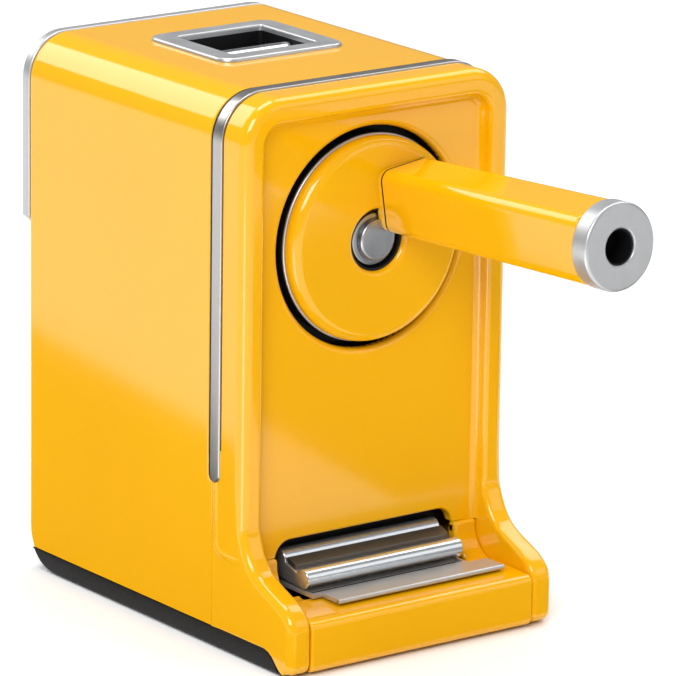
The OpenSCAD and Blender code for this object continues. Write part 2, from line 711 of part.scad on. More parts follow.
flutes = 12;
module cutter(k) color("silver") on_cutter(k) difference() {
    union() {
        translate([0, 0, 1 - cutter_len]) linear_extrude(cutter_len, twist=-70, slices=10)
            polygon([for (i = [0:flutes - 1]) let (a = i*360/flutes)
                each [cutter_r*[cos(a), sin(a)], cutter_r*[cos(a + 5), sin(a + 5)],
                      (cutter_r - 1)*[cos(a + 12), sin(a + 12)]]]);
        translate([0, 0, 1 - eps]) cylinder(r=sleeve_r, h=pinion_s - 1 - 0.02);
    }
    translate([0, 0, -50]) cylinder(r=pin_r + 0.04, h=100);
}
module cutter_1() cutter(1);
module cutter_2() cutter(2);

module cutter_pinion(k) color("darkgoldenrod") on_cutter(k) translate([0, 0, pinion_s])
    difference() {
        linear_extrude(pinion_t)
            gear_outline(pinion_teeth, pinion_teeth/2 - 1, pinion_teeth/2 + 0.75, -0.34);
        translate([0, 0, -1]) cylinder(r=pin_r + 0.04, h=10);
    }
module cutter_pinion_1() cutter_pinion(1);
module cutter_pinion_2() cutter_pinion(2);

// ---------- drawer ----------

front_hw = 20.8;
ridge_1 = [panel_y + 2.8, 18.3];
ridge_2 = [panel_y - 5.5, 15.85];
ridge_r = 2.2;
tray_z = toe_top + 0.4;
tray_top = 21.4;
tray_y = ridge_1[0] + ridge_r;
tray_len = rear_in - rear_t - tray_gap - tray_y;

module shavings_tray() color(black) difference() {
    translate([-tray_hw, tray_y, tray_z]) cube([2*tray_hw, tray_len, tray_top - tray_z]);
    translate([-tray_hw + tray_t, tray_y + tray_t, tray_z + tray_t])
        cube([2*(tray_hw - tray_t), tray_len - 2*tray_t, 20]);
}

module drawer_front() color(chrome) along_x(-front_hw, 2*front_hw) {
    translate(ridge_1) circle(ridge_r);
    translate(ridge_2) circle(ridge_r);
    polygon([ridge_1, [tray_y, ridge_1[1]], [tray_y, ridge_2[1] - 1.5], ridge_2 + [0, -1.5], ridge_2]);
}

tongue_x = [-18.4, 25.8];            // the pull's wide end stands towards the grip's side
tongue_y = panel_y - 16.4;
tongue_z = toe_top + 0.15;
tongue_t = 0.9;
slot_w = 3;
slot_y = ridge_2[0] - ridge_r - 0.8;
neck_y = panel_y - 9.4;
module pull_tongue() color(chrome) difference() {
    union() {
        translate([tongue_x[0], tongue_y + 1.2, tongue_z])
            cube([tongue_x[1] - tongue_x[0], neck_y - tongue_y - 1.2, tongue_t]);
        translate([-front_hw, neck_y - eps, tongue_z])
            cube([2*front_hw, tray_y - neck_y, tongue_t]);
        along_x(tongue_x[0], tongue_x[1] - tongue_x[0])
            translate([tongue_y + 1.2, tongue_z + tongue_t/2]) circle(tongue_t/2 + 0.1);
    }
    translate([-front_hw + 0.6, slot_y, toe_top - 3]) cube([2*front_hw - 1.2, slot_w, 10]);
}

// ---------- rear feed carriage ----------

feed_y = rear_y + 0.1;
shield_r = 20;
lever_y = feed_y + feed_t + 0.3;
lever_t = 3;
pivot = [10, axis_z + 10.7];
jaw_gap = 2.2;

module feed_outline() {
    difference() {
        arch(body_w, body_h, corner_r, axis_z - 9.1);
        for (s = [-1, 1]) translate([s*half_w, axis_z - 9.1]) rotate(45) square(3.4, center=true);
    }
    translate([0, axis_z]) circle(shield_r);
}

module feed_plate() color(chrome) difference() {
    along_y(feed_y, feed_t) feed_outline();
    rod(0, axis_z, feed_y - 1, 10, port_r + 0.6);
    for (s = [-1, 1]) rod(s*rod_x, rod_z, feed_y - 1, 10, rod_r - 0.6);
    for (s = [-1, 1]) rod(s*pivot[0], pivot[1], feed_y - 1, 10, pin_r);
}

module guide_rods() color(chrome) for (s = [-1, 1]) {
    rod(s*rod_x, rod_z, rod_front, feed_y - rod_front, rod_r);
    rod(s*rod_x, rod_z, feed_y - eps, feed_t, rod_r - 0.62);
}

collar_y = rod_front + 1.4;
module rod_collars() color(steel) for (s = [-1, 1]) difference() {
    rod(s*rod_x, rod_z, collar_y, 1.2, rod_r + 2);
    rod(s*rod_x, rod_z, collar_y - 1, 10, rod_r + 0.01);
}

module jaw_pins() color(steel) for (s = [-1, 1])
    rod(s*pivot[0], pivot[1], feed_y + 0.6, feed_t + lever_t + 1, pin_r - 0.02);

handle_top = body_h - 4;
module lever_outline() {
    // left lever, pivot at the origin
    difference() {
        union() {
            circle(4);
            polygon([[-3.6, 1], [3.8, -1], [pivot[0] - jaw_gap, -6.6], [pivot[0] - jaw_gap, -14.6],
                [pivot[0] - jaw_gap - 3.4, -14.6], [-1, -7.2]]);
            polygon([[-3.9, -0.5], [3.9, 0.5], [-0.6, 9], [-2.6, handle_top - pivot[1]],
                [-6.2, handle_top - pivot[1]], [-6.2, 9]]);
        }
        circle(pin_r + fit);
    }
}
module lever() color(black) {
    along_y(lever_y, lever_t) translate([-pivot[0], pivot[1]]) lever_outline();
    translate([-pivot[0] - 6.2, lever_y + lever_t - eps, handle_top - 11])
        cube([3.4, 8.5, 11]);
}
module jaw_lever_left() lever();
module jaw_lever_right() mirror([1, 0, 0]) lever();

cover_in = lever_y + lever_t + 1.9;
cover_t = 2;
nose_l = 6;
cover_hw = 21;
module jaw_cover() color(black) difference() {
    union() {
        difference() {
            along_y(feed_y + feed_t, cover_in + cover_t - feed_y - feed_t)
                translate([0, axis_z + 0.5]) round_rect(2*cover_hw, 33, 6);
            along_y(feed_y + feed_t - 1, cover_in - feed_y - feed_t + 1)
                translate([0, axis_z + 0.5]) round_rect(2*cover_hw - 4, 29, 4);
        }
        rod(0, axis_z, cover_in + cover_t - eps, nose_l - cover_t, port_r + 3.4);
    }
    rod(0, axis_z, cover_in - 1, 20, port_r);
    // the levers come out through the top
    translate([0, feed_y + feed_t - 1 + (cover_in - feed_y - feed_t + 1)/2, axis_z + 16])
        cube([2*cover_hw - 4, cover_in - feed_y - feed_t + 1, 10], center=true);
}

// ---------- springs ----------

// Closed coil of round wire along +Z: mid radius r, wire radius w, length l, turns n.
module coil(r, w, l, n, steps=10, sides=6) {
    rings = n*steps;
    pts = [for (i = [0:rings], j = [0:sides - 1])
        let (a = 360*i/steps, b = 360*j/sides, rr = r + w*cos(b))
        [rr*cos(a), rr*sin(a), w + (l - 2*w)*i/rings + w*sin(b)]];
    faces = concat([[for (j = [sides - 1:-1:0]) j]], [[for (j = [0:sides - 1]) rings*sides + j]],
        [for (i = [0:rings - 1], j = [0:sides - 1]) let (a = i*sides + j, b = i*sides + (j + 1)%sides)
            each [[a, b, a + sides], [b, b + sides, a + sides]]]);
    polyhedron(pts, [for (f = faces) [for (k = [len(f) - 1:-1:0]) f[k]]]);
}

module feed_spring(s) color(steel) translate([s*rod_x, collar_y + 1.3, rod_z]) rotate([-90, 0, 0])
    coil(rod_r + 1.1, 0.45, rear_in - rear_t - 1.4 - collar_y - 1.3, 11);
module feed_spring_left() feed_spring(-1);
module feed_spring_right() feed_spring(1);

jaw_spring_z = pivot[1] + 10;
jaw_spring_hl = pivot[0] + 0.3;      // half length between the levers
module jaw_spring() color(steel) translate([-jaw_spring_hl, lever_y + lever_t/2, jaw_spring_z])
    rotate([0, 90, 0]) coil(1.15, 0.3, 2*jaw_spring_hl, 12, 8, 5);

casing();
front_cover();
toe_cover();
dish_liner();
trim_band();
rear_cover();
base_plate();
ballast_plate();
rubber_feet();
grip_pad();
base_screws();
case_bolts();
drawer_deck();
shavings_hopper();
top_bezel();
well_floor();
frame_front();
frame_rear();
frame_screws();
tie_rods();
ring_gear();
spindle_bush();
pencil_guide();
rod_bushes();
crank_disc();
disc_edge_ring();
disc_drum();
hub_nut();
spindle();
spindle_spacer();
drive_pin();
grip_axle();
axle_nut();
axle_screw();
cutter_carrier();
cutter_pins();
grip_sleeve();
grip_ferrule();
cutter_1();
cutter_2();
cutter_pinion_1();
cutter_pinion_2();
shavings_tray();
drawer_front();
pull_tongue();
selector_bar();
selector_slide();
feed_plate();
guide_rods();
rod_collars();
jaw_cover();
jaw_pins();
jaw_lever_left();
jaw_lever_right();
feed_spring_left();
feed_spring_right();
jaw_spring();
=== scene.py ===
# Crank pencil sharpener: the looks of each piece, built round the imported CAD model.
# Sizes are in millimetres until a mesh is made; Blender's own units are metres.
import json
from math import atan2, cos, hypot, pi, radians, sin, sqrt

import bmesh
import bpy
from mathutils import Matrix, Vector
from mathutils.geometry import tessellate_polygon


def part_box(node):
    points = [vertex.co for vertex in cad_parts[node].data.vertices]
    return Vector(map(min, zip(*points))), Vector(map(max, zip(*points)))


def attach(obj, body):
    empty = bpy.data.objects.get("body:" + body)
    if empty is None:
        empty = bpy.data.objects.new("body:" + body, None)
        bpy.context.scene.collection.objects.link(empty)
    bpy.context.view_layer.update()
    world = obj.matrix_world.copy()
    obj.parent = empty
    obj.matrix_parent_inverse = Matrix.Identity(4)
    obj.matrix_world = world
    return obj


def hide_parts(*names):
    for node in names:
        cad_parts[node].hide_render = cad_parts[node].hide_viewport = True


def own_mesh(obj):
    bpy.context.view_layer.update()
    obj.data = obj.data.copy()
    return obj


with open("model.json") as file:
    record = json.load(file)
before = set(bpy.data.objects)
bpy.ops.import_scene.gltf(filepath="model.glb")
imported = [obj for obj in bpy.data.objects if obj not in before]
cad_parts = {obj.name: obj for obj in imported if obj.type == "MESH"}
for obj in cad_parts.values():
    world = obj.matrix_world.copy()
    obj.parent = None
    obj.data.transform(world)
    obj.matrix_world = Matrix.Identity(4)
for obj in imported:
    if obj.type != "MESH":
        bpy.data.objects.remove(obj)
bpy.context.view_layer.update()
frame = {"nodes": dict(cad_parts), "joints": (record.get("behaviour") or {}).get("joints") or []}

# ---------------------------------------------------------------------------------------
# Camera: a long lens to the left of the crank and a little above the housing.
# ---------------------------------------------------------------------------------------
turn, rise, roll = radians(36.95), radians(15.38), radians(-0.85)
aim = Vector((0, -0.019, 0.060))
away = Vector((-sin(turn) * cos(rise), -cos(turn) * cos(rise), sin(rise)))
level = Vector((cos(turn), -sin(turn), 0))
upright = away.cross(level)
right = level * cos(roll) - upright * sin(roll)
up = level * sin(roll) + upright * cos(roll)
camera_data = bpy.data.cameras.new("camera")
camera_data.lens = 305.1
camera_data.sensor_width = 36
camera_data.shift_x = -0.0070
camera_data.shift_y = 0.0152
camera_data.clip_end = 20
camera = bpy.data.objects.new("camera", camera_data)
bpy.context.scene.collection.objects.link(camera)
distance = 1.2218
facing = Matrix((right, up, away)).transposed().to_4x4()
camera.matrix_world = Matrix.Translation(aim + away * distance) @ facing
bpy.context.scene.camera = camera

# ---------------------------------------------------------------------------------------
# Casing: an injection-moulded shell of glossy yellow ABS, 2 mm thick, open at the front,
# the rear and below. It slides over the front frame's spigot and four long bolts hold it.
# ---------------------------------------------------------------------------------------


def extents(node):
    """Lowest and highest corner of a CAD node, in millimetres."""
    return [[1000 * value for value in corner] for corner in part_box(node)]


def arc(x, y, radius, start, end, steps):
    """Points of an arc, its angles in degrees."""
    angles = [radians(start + (end - start) * i / steps) for i in range(steps + 1)]
    return [(x + radius * cos(a), y + radius * sin(a)) for a in angles]


def quarter(radius, start=0, end=90, step=15):
    """An edge rolled over by a quarter circle: how far it steps in, and how far it drops."""
    turn_by = step if end > start else -step
    return [(radius * (1 - cos(radians(a))), radius * (1 - sin(radians(a))))
            for a in range(start, end + (1 if end > start else -1), turn_by)]


class Moulding:
    """Gathers the points and faces of one piece, in millimetres."""

    def __init__(self):
        self.points = []
        self.faces = []

    def skin(self, rows, ring=False, wrap=False, skip=()):
        """Joins rows of the same number of points. A ring row is closed, wrap joins the last row to
        the first, and skip leaves out faces by row and place."""
        base, count = len(self.points), len(rows[0])
        for row in rows:
            self.points += [tuple(p) for p in row]
        for i in range(len(rows) if wrap else len(rows) - 1):
            here, there = base + i * count, base + (i + 1) % len(rows) * count
            for j in range(count if ring else count - 1):
                k = (j + 1) % count
                if (i, j) not in skip:
                    self.faces.append((here + j, here + k, there + k, there + j))

    def cap(self, outline, holes=()):
        """Fills a flat outline, round its holes."""
        loops = [list(outline)] + [list(h) for h in holes]
        base = len(self.points)
        for loop in loops:
            self.points += [tuple(p) for p in loop]
        for tri in tessellate_polygon([[Vector(p) for p in loop] for loop in loops]):
            self.faces.append(tuple(base + i for i in tri))

    def make(self, name, material, body, slot, nodes=(), sharp=32):
        """Turns the points into a Blender piece that rides on a body and stands for CAD nodes."""
        mesh = bpy.data.meshes.new(name)
        mesh.from_pydata([[c / 1000 for c in p] for p in self.points], [], self.faces)
        shape = bmesh.new()
        shape.from_mesh(mesh)
        bmesh.ops.remove_doubles(shape, verts=shape.verts, dist=2e-6)
        bmesh.ops.dissolve_degenerate(shape, edges=shape.edges, dist=1e-6)
        bmesh.ops.recalc_face_normals(shape, faces=shape.faces)
        for face in shape.faces:
            face.smooth = True
        for edge in shape.edges:
            if len(edge.link_faces) == 2 and edge.calc_face_angle(0) > radians(sharp):
                edge.smooth = False
        shape.to_mesh(mesh)
        shape.free()
        piece = bpy.data.objects.new(name, mesh)
        bpy.context.scene.collection.objects.link(piece)
        mesh.materials.append(material)
        weigh = piece.modifiers.new("even_shading", "WEIGHTED_NORMAL")
        weigh.keep_sharp = True
        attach(piece, body)
        if nodes:
            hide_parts(*nodes)
        return piece


def arch_path(half, top, corner, low, bends=16, legs=6):
    """Stations of an inverted U from its left foot to its right foot: x, z and the outward normal."""
    side = [low + (top - corner - low) * i / legs for i in range(legs + 1)]
    path = [(-half, z, -1, 0) for z in side]
    for centre, start, end in ((-half + corner, 180, 90), (half - corner, 90, 0)):
        for x, z in arc(0, 0, 1, start, end, bends)[0 if start == 90 else 1:]:
            path.append((centre + corner * x, top - corner + corner * z, x, z))
    return path + [(half, z, 1, 0) for z in reversed(side)][1:]


def soft_gloss(name, colour, deep, grain=900, bump=0.012, rough=0.1):
    """Glossy moulded plastic: faint flow marks in the colour, orange peel in the surface."""
    material = bpy.data.materials.new(name)
    material.use_nodes = True
    tree = material.node_tree
    shader = tree.nodes["Principled BSDF"]
    place = tree.nodes.new("ShaderNodeTexCoord")
    flow = tree.nodes.new("ShaderNodeTexNoise")
    flow.inputs["Scale"].default_value = 28
    flow.inputs["Detail"].default_value = 3
    tree.links.new(place.outputs["Object"], flow.inputs["Vector"])
    tint = tree.nodes.new("ShaderNodeValToRGB")
    tint.color_ramp.elements[0].position = 0.3
    tint.color_ramp.elements[0].color = (*deep, 1)
    tint.color_ramp.elements[1].position = 0.7
    tint.color_ramp.elements[1].color = (*colour, 1)
    tree.links.new(flow.outputs["Fac"], tint.inputs["Fac"])
    tree.links.new(tint.outputs["Color"], shader.inputs["Base Color"])
    fine = tree.nodes.new("ShaderNodeTexNoise")
    fine.inputs["Scale"].default_value = grain
    fine.inputs["Detail"].default_value = 4
    tree.links.new(place.outputs["Object"], fine.inputs["Vector"])
    sheen = tree.nodes.new("ShaderNodeMapRange")
    sheen.inputs["To Min"].default_value = rough * 0.75
    sheen.inputs["To Max"].default_value = rough * 1.4
    tree.links.new(fine.outputs["Fac"], sheen.inputs["Value"])
    tree.links.new(sheen.outputs["Result"], shader.inputs["Roughness"])
    peel = tree.nodes.new("ShaderNodeBump")
    peel.inputs["Strength"].default_value = bump
    peel.inputs["Distance"].default_value = 0.0004
    tree.links.new(fine.outputs["Fac"], peel.inputs["Height"])
    tree.links.new(peel.outputs["Normal"], shader.inputs["Normal"])
    shader.inputs["Metallic"].default_value = 0
    shader.inputs["IOR"].default_value = 1.5
    shader.inputs["Coat Weight"].default_value = 0.2
    shader.inputs["Coat Roughness"].default_value = 0.06
    return material


yellow = soft_gloss("yellow_shell", (0.90, 0.452, 0.002), (0.88, 0.432, 0.002))

casing_low, casing_high = extents("casing")
trim_low, trim_high = extents("trim_band")
half_w, rear_y, top_z = casing_high
base_top = 4.7
corner_r = 10.0
shell_wall = 2.0
case_front = trim_low[1] + 2.7      # the casing's front edge, under the trim band
rear_bend = 9.0                     # round of the lower rear edge, seen from the side
rear_round = 1.1                    # round of the edge that frames the rear cover
trim_seat = 0.55                    # how far the casing is let in below the trim band
bezel_flange = 2.2                  # what the selector's bezel covers of the casing round its hole
floor_gap = casing_low[2]


def rear_edge(z):
    """Where the casing ends at height z, with its lower rear corner rounded."""
    drop = floor_gap + rear_bend - z
    return rear_y - rear_bend + sqrt(rear_bend**2 - drop**2) if drop > 0 else rear_y


casing = Moulding()
low_legs = [base_top + 0.15 + step for step in (0, 0.8, 1.8, 3, 4.6, 8, 14, 20, 26, 31.5, 34, 38, 60)]
path = arch_path(half_w, top_z, corner_r, low_legs[-1], legs=4)
path = [(-half_w, z, -1, 0) for z in low_legs[:-1]] + path + [(half_w, z, 1, 0) for z in low_legs[-2::-1]]
rows = []
for x, z, nx, nz in path:
    under_trim = min(1, max(0, (z - 38) / 2))
    lip = 0.3 * min(1, max(0, (z - 23) / 6))
    rear = rear_edge(z)
    seat = trim_seat * under_trim
    profile = [(shell_wall, case_front), (lip + seat, case_front)]
    profile += [(lip * 0.3 + seat, case_front + lip * 0.3)]
    profile += [(seat, case_front + lip), (seat, trim_high[1] + 0.05)]
    profile += [(0.4 * under_trim, trim_high[1] + 0.25), (0.1 * under_trim, trim_high[1] + 0.42)]
    profile += [(0, trim_high[1] + 0.75)]
    profile += [(inset, rear - drop) for inset, drop in quarter(rear_round)]
    profile += [(shell_wall, rear), (shell_wall, case_front)]
    rows.append([(x - nx * d, y, z - nz * d) for d, y in profile])
bezel_low, bezel_high = extents("top_bezel")
well_mid = (bezel_low[1] + bezel_high[1]) / 2
hole_x = bezel_low[0] + bezel_flange, bezel_high[0] - bezel_flange
hole_y = bezel_low[1] + bezel_flange, bezel_high[1] - bezel_flange
well_hole = [(hole_x[0], hole_y[0]), (hole_x[1], hole_y[0]), (hole_x[1], hole_y[1]), (hole_x[0], hole_y[1])]
flat = next(i for i in range(len(path) - 1) if path[i][3] > 0.999 and path[i + 1][3] > 0.999)
upper, lower = 7, len(rows[0]) - 2  # places of the outer and the inner face in a row
casing.skin(rows, skip=[(flat, upper), (flat, lower)])
for place, z in ((upper, top_z), (lower, top_z - shell_wall)):
    corners = [rows[flat][place], rows[flat + 1][place], rows[flat + 1][place + 1], rows[flat][place + 1]]
    casing.cap(corners, [[(x, y, z) for x, y in well_hole]])
casing.make("casing_shell", yellow, "housing", "yellow_shell", ["casing"])

# ---------------------------------------------------------------------------------------
# Front frame: the moulded rim with its two side rails and the cheeks that stand beside
# the drawer, one glossy yellow moulding. Its sunk panel carries the crank's round recess.
# ---------------------------------------------------------------------------------------


def joint(name):
    """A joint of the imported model."""
    return next(j for j in frame["joints"] if j["name"] == name)


spindle_x, rim_y, axis_z = [1000 * value for value in joint("crank_turn")["pos_m"]]
rim_w = 5.5
rim_round, rim_inner = 2.5, 1.2
panel_y = rim_y + 3
panel_foot = 19.6
cove = 1.8                          # round between the rim's inner wall and the panel
leg_top = 44.0
seam_z = 22.0
foot_y = casing_low[1]
foot_reach = rim_y - foot_y
frame_back = case_front - 0.12

rim = Moulding()
path = arch_path(half_w, top_z, corner_r, leg_top, legs=5)
profile = [(0.6, frame_back), (0.6, trim_low[1] - 0.1)]
profile += [(0.25, trim_low[1] - 0.2), (0, trim_low[1] - 0.45)]
profile += [(inset, rim_y + drop) for inset, drop in quarter(rim_round, step=10)]
inner = [(rim_w - drop, rim_y + inset) for inset, drop in quarter(rim_inner)]
rim.skin([[(x - nx * d, y, z - nz * d) for d, y in profile + inner] for x, z, nx, nz in path])

# The wall inside the rim runs into the panel with a soft cove, down both sides to the ledge.
path = arch_path(half_w, top_z, corner_r, panel_foot, legs=8)
bend = [(rim_w, rim_y + rim_inner), (rim_w, panel_y - cove)]
bend += [(rim_w + out, panel_y - rise) for out, rise in quarter(cove, start=10, step=10)]
rim.skin([[(x - nx * d, y, z - nz * d) for d, y in bend] for x, z, nx, nz in path])
panel_edge = [(x - nx * bend[-1][0], z - nz * bend[-1][0]) for x, z, nx, nz in path]

dish_r = 24.0
dish_edge = 1.3
mouth_w, mouth_top, mouth_r, mouth_edge = 23.6, 23.0, 4.0, 0.7


def mouth(grow):
    """Upper part of the drawer's opening, from its left to its right end on the ledge."""
    bent = arc(mouth_w - mouth_r, mouth_top - mouth_r, mouth_r + grow, 9, 90, 10)
    return [(-x, z) for x, z in bent] + bent[::-1]


outline = panel_edge + mouth(mouth_edge)[::-1]
hole = arc(spindle_x, axis_z, dish_r + dish_edge, 0, 360, 96)[:-1]
rim.cap([(x, panel_y, z) for x, z in outline], [[(x, panel_y, z) for x, z in hole]])
rolls = [(dish_r + drop, panel_y + inset) for inset, drop in quarter(dish_edge)]
rolls.append((dish_r, panel_y + dish_edge + 0.6))
rim.skin([[(x, y, z) for x, z in arc(spindle_x, axis_z, r, 0, 360, 96)[:-1]] for r, y in rolls], ring=True)
rolls = [(drop, panel_y + inset) for inset, drop in quarter(mouth_edge)]
rolls.append((0, panel_y + 2.5))
rim.skin([[(x, y, z) for x, z in mouth(grow)] for grow, y in rolls])


def smooth_through(points, steps=5):
    """A soft curve through given points (Catmull-Rom)."""
    padded = [points[0]] + points + [points[-1]]
    curve = []
    for a, b, c, d in zip(padded, padded[1:], padded[2:], padded[3:]):
        for i in range(steps):
            t = i / steps
            curve.append(tuple(0.5 * (2 * q + (r - p) * t + (2 * p - 5 * q + 4 * r - s) * t**2
                                      + (3 * q - p - 3 * r + s) * t**3)
                               for p, q, r, s in zip(a, b, c, d)))
    return curve + [points[-1]]


# Front edge of a cheek, from the rim down over the hollow sweep and round the nose of the foot.
flare = [(0, 6.5), (0.02, 4.6), (0.07, 2.3), (0.145, -0.1), (0.255, -2.2), (0.42, -3.9), (0.62, -5.4),
         (0.78, -6.7), (0.89, -8.1), (0.965, -9.7), (1, -11.8)]
sweep = [(rim_y - reach * foot_reach, seam_z + z) for reach, z in flare]
chin_r = 2.4
front = [(rim_y, leg_top - (leg_top - sweep[0][1]) * i / 5) for i in range(5)]
front += smooth_through(sweep)
front += [(foot_y + chin_r + chin_r * cos(radians(a)), floor_gap + chin_r + chin_r * sin(radians(a)))
          for a in range(180, 271, 15)]
front += [(foot_y + 3.2, floor_gap), (foot_y + 4.3, floor_gap + 0.55), (foot_y + 5.4, floor_gap + 1.6),
          (foot_y + 6.6, floor_gap + 2.8), (foot_y + 7.9, base_top - 0.45), (foot_y + 9.4, base_top)]
front += [(foot_y + 9.4 + (frame_back - foot_y - 9.4) * i / 5, base_top) for i in range(1, 6)]
behind = [(frame_back, z) for z in (8, 14, 20, 25, 30, 36, leg_top)]
boundary = front + behind


def outward(points):
    """Normals of an open outline that keeps its piece on the right-hand side going down the front."""
    normals = []
    for i in range(len(points)):
        (ax, ay), (bx, by) = points[max(0, i - 1)], points[min(len(points) - 1, i + 1)]
        size = hypot(bx - ax, by - ay)
        normals.append(((by - ay) / size, -(bx - ax) / size))
    return normals


cheek_round = 1.9


def cheek_roll(y, z, outer):
    """How far the edge at this place is rolled over."""
    if y > frame_back - 0.05:
        return 0.3 * min(1, max(0.02, (z - 23) / 6))
    if z <= base_top + 0.01 and y > foot_y + 2.5:
        return 0.35
    return cheek_round if outer else rim_inner


normals = outward(boundary)
normals[len(front) - 1] = (0, -1)
for side in (-1, 1):
    rows, outer_cap, inner_cap = [], [], []
    for (y, z), (ny, nz) in zip(boundary, normals):
        ease = min(1, max(0, (z - 26) / 10))
        r_out = cheek_roll(y, z, True)
        r_in = cheek_roll(y, z, False)
        if y < frame_back - 0.05 and z > base_top + 0.01:
            r_out = cheek_round + (rim_round - cheek_round) * ease
        row = [(half_w - drop, inset) for inset, drop in quarter(r_out, start=90, end=0, step=10)]
        row += [(half_w - rim_w + drop, inset) for inset, drop in quarter(r_in)]
        row = [(side * x, y - ny * inset, z - nz * inset) for x, inset in row]
        rows.append(row)
        outer_cap.append(row[0])
        inner_cap.append(row[-1])
    rim.skin(rows)
    rim.cap(outer_cap)
    rim.cap(inner_cap)

# A low bead runs down each side below the trim band and bends forward above the foot.
bead_y, bead_z, bead_bend, bead_half, bead_h = frame_back - 1.0, 21.5, 3.0, 0.95, 0.26
line = [(bead_y, bead_z + bead_bend + 16 - 2 * i) for i in range(8)]
line += arc(bead_y - bead_bend, bead_z + bead_bend, bead_bend, 0, -90, 8)
line += [(bead_y - bead_bend - 1.2 * i, bead_z - 0.12 * i) for i in range(1, 7)]
for side in (-1, 1):
    rows = []
    for i, ((y, z), (ny, nz)) in enumerate(zip(line, outward(line))):
        fade = min(1, i / 2, (len(line) - 1 - i) / 6)
        rows.append([(side * (half_w - 0.02 + bead_h * fade * cos(pi / 2 * t)), y + ny * bead_half * t,
                      z + nz * bead_half * t) for t in (-1, -0.75, -0.5, -0.25, 0, 0.25, 0.5, 0.75, 1)])
    rim.skin(rows)

rim.make("front_frame", yellow, "housing", "yellow_shell", ["front_cover"])

# ---------------------------------------------------------------------------------------
# Toe: the moulded insert between the cheeks. Its back rises in a hollow behind the drawer
# front, its flat top carries the pull, and its nose closes the front of the housing.
# ---------------------------------------------------------------------------------------
toe_half = half_w - rim_w - 0.12
toe_top = 12.4
slot_front = foot_y + 13
ledge_y = panel_y - 0.9
hollow_r = 6.6
ledge_r = 0.9
toe_line = [(panel_y + 1, panel_foot), (ledge_y + ledge_r, panel_foot)]
toe_line += arc(ledge_y + ledge_r, panel_foot - ledge_r, ledge_r, 90, 180, 5)
toe_line += arc(ledge_y - hollow_r, panel_foot - ledge_r - 0.3, hollow_r, 0, -84, 12)
toe_line.append((slot_front, toe_top - 0.25))
toe_front = [(slot_front, toe_top - 0.25), (foot_y + 6, toe_top - 0.35), (foot_y + 2.4, toe_top - 0.55)]
toe_front += arc(foot_y + 1.7, toe_top - 2.25, 1.7, 84, 180, 7)
toe_front += arc(foot_y + 1.6, floor_gap + 1.6, 1.6, 180, 262, 5) + [(foot_y + 5, floor_gap)]
shelf_x = 21.3                      # the shelf beside the pull reaches in this far, below the drawer


def strip(shape, line, left, right_edge, roll_left, roll_right, sink=2.2):
    """A band of moulding along X over a YZ line, its two edges rolled down."""
    turns = outward(line)
    rows = []
    for (y, z), (ny, nz) in zip(line, turns):
        across = [(left, sink)]
        across += [(left + inset, drop) for inset, drop in quarter(roll_left, step=18)]
        across += [(right_edge - inset, drop) for inset, drop in quarter(roll_right, 90, 0, step=18)]
        across += [(right_edge, sink)]
        rows.append([(x, y - ny * inset, z - nz * inset) for x, inset in across])
    shape.skin(rows)


toe = Moulding()
for side in (-1, 1):
    ends = sorted((side * mouth_w, side * toe_half))
    rolls = (0.45, mouth_edge) if side < 0 else (mouth_edge, 0.45)
    strip(toe, toe_line, *ends, *rolls)
    shelf = sorted((side * shelf_x, side * mouth_w))
    strip(toe, [(y, z) for y, z in toe_line if z < toe_top], *shelf, 0.1, 0.1, sink=1)
strip(toe, toe_front, -toe_half, toe_half, 0.45, 0.45)
toe.make("toe_insert", yellow, "housing", "yellow_shell", ["toe_cover"])

# ---------------------------------------------------------------------------------------
# Trim band: a satin metal strip set in a groove between the front frame and the casing. It
# is bent over the top and ends with round tips on both sides.
# ---------------------------------------------------------------------------------------


def bright_metal(name, colour, rough, streak=None, bump=0.02, metallic=1.0, grain=260):
    """Metal with fine rubbing marks. streak stretches the marks along one axis."""
    material = bpy.data.materials.new(name)
    material.use_nodes = True
    tree = material.node_tree
    shader = tree.nodes["Principled BSDF"]
    place = tree.nodes.new("ShaderNodeTexCoord")
    stretch = tree.nodes.new("ShaderNodeMapping")
    stretch.inputs["Scale"].default_value = streak or (1, 1, 1)
    tree.links.new(place.outputs["Object"], stretch.inputs["Vector"])
    marks = tree.nodes.new("ShaderNodeTexNoise")
    marks.inputs["Scale"].default_value = grain
    marks.inputs["Detail"].default_value = 5
    tree.links.new(stretch.outputs["Vector"], marks.inputs["Vector"])
    tint = tree.nodes.new("ShaderNodeValToRGB")
    tint.color_ramp.elements[0].position = 0.25
    tint.color_ramp.elements[0].color = (*[c * 0.9 for c in colour], 1)
    tint.color_ramp.elements[1].position = 0.75
    tint.color_ramp.elements[1].color = (*colour, 1)
    tree.links.new(marks.outputs["Fac"], tint.inputs["Fac"])
    tree.links.new(tint.outputs["Color"], shader.inputs["Base Color"])
    polish = tree.nodes.new("ShaderNodeMapRange")
    polish.inputs["To Min"].default_value = rough * 0.75
    polish.inputs["To Max"].default_value = rough * 1.3
    tree.links.new(marks.outputs["Fac"], polish.inputs["Value"])
    tree.links.new(polish.outputs["Result"], shader.inputs["Roughness"])
    scratch = tree.nodes.new("ShaderNodeBump")
    scratch.inputs["Strength"].default_value = bump
    scratch.inputs["Distance"].default_value = 0.0003
    tree.links.new(marks.outputs["Fac"], scratch.inputs["Height"])
    tree.links.new(scratch.outputs["Normal"], shader.inputs["Normal"])
    shader.inputs["Metallic"].default_value = metallic
    return material


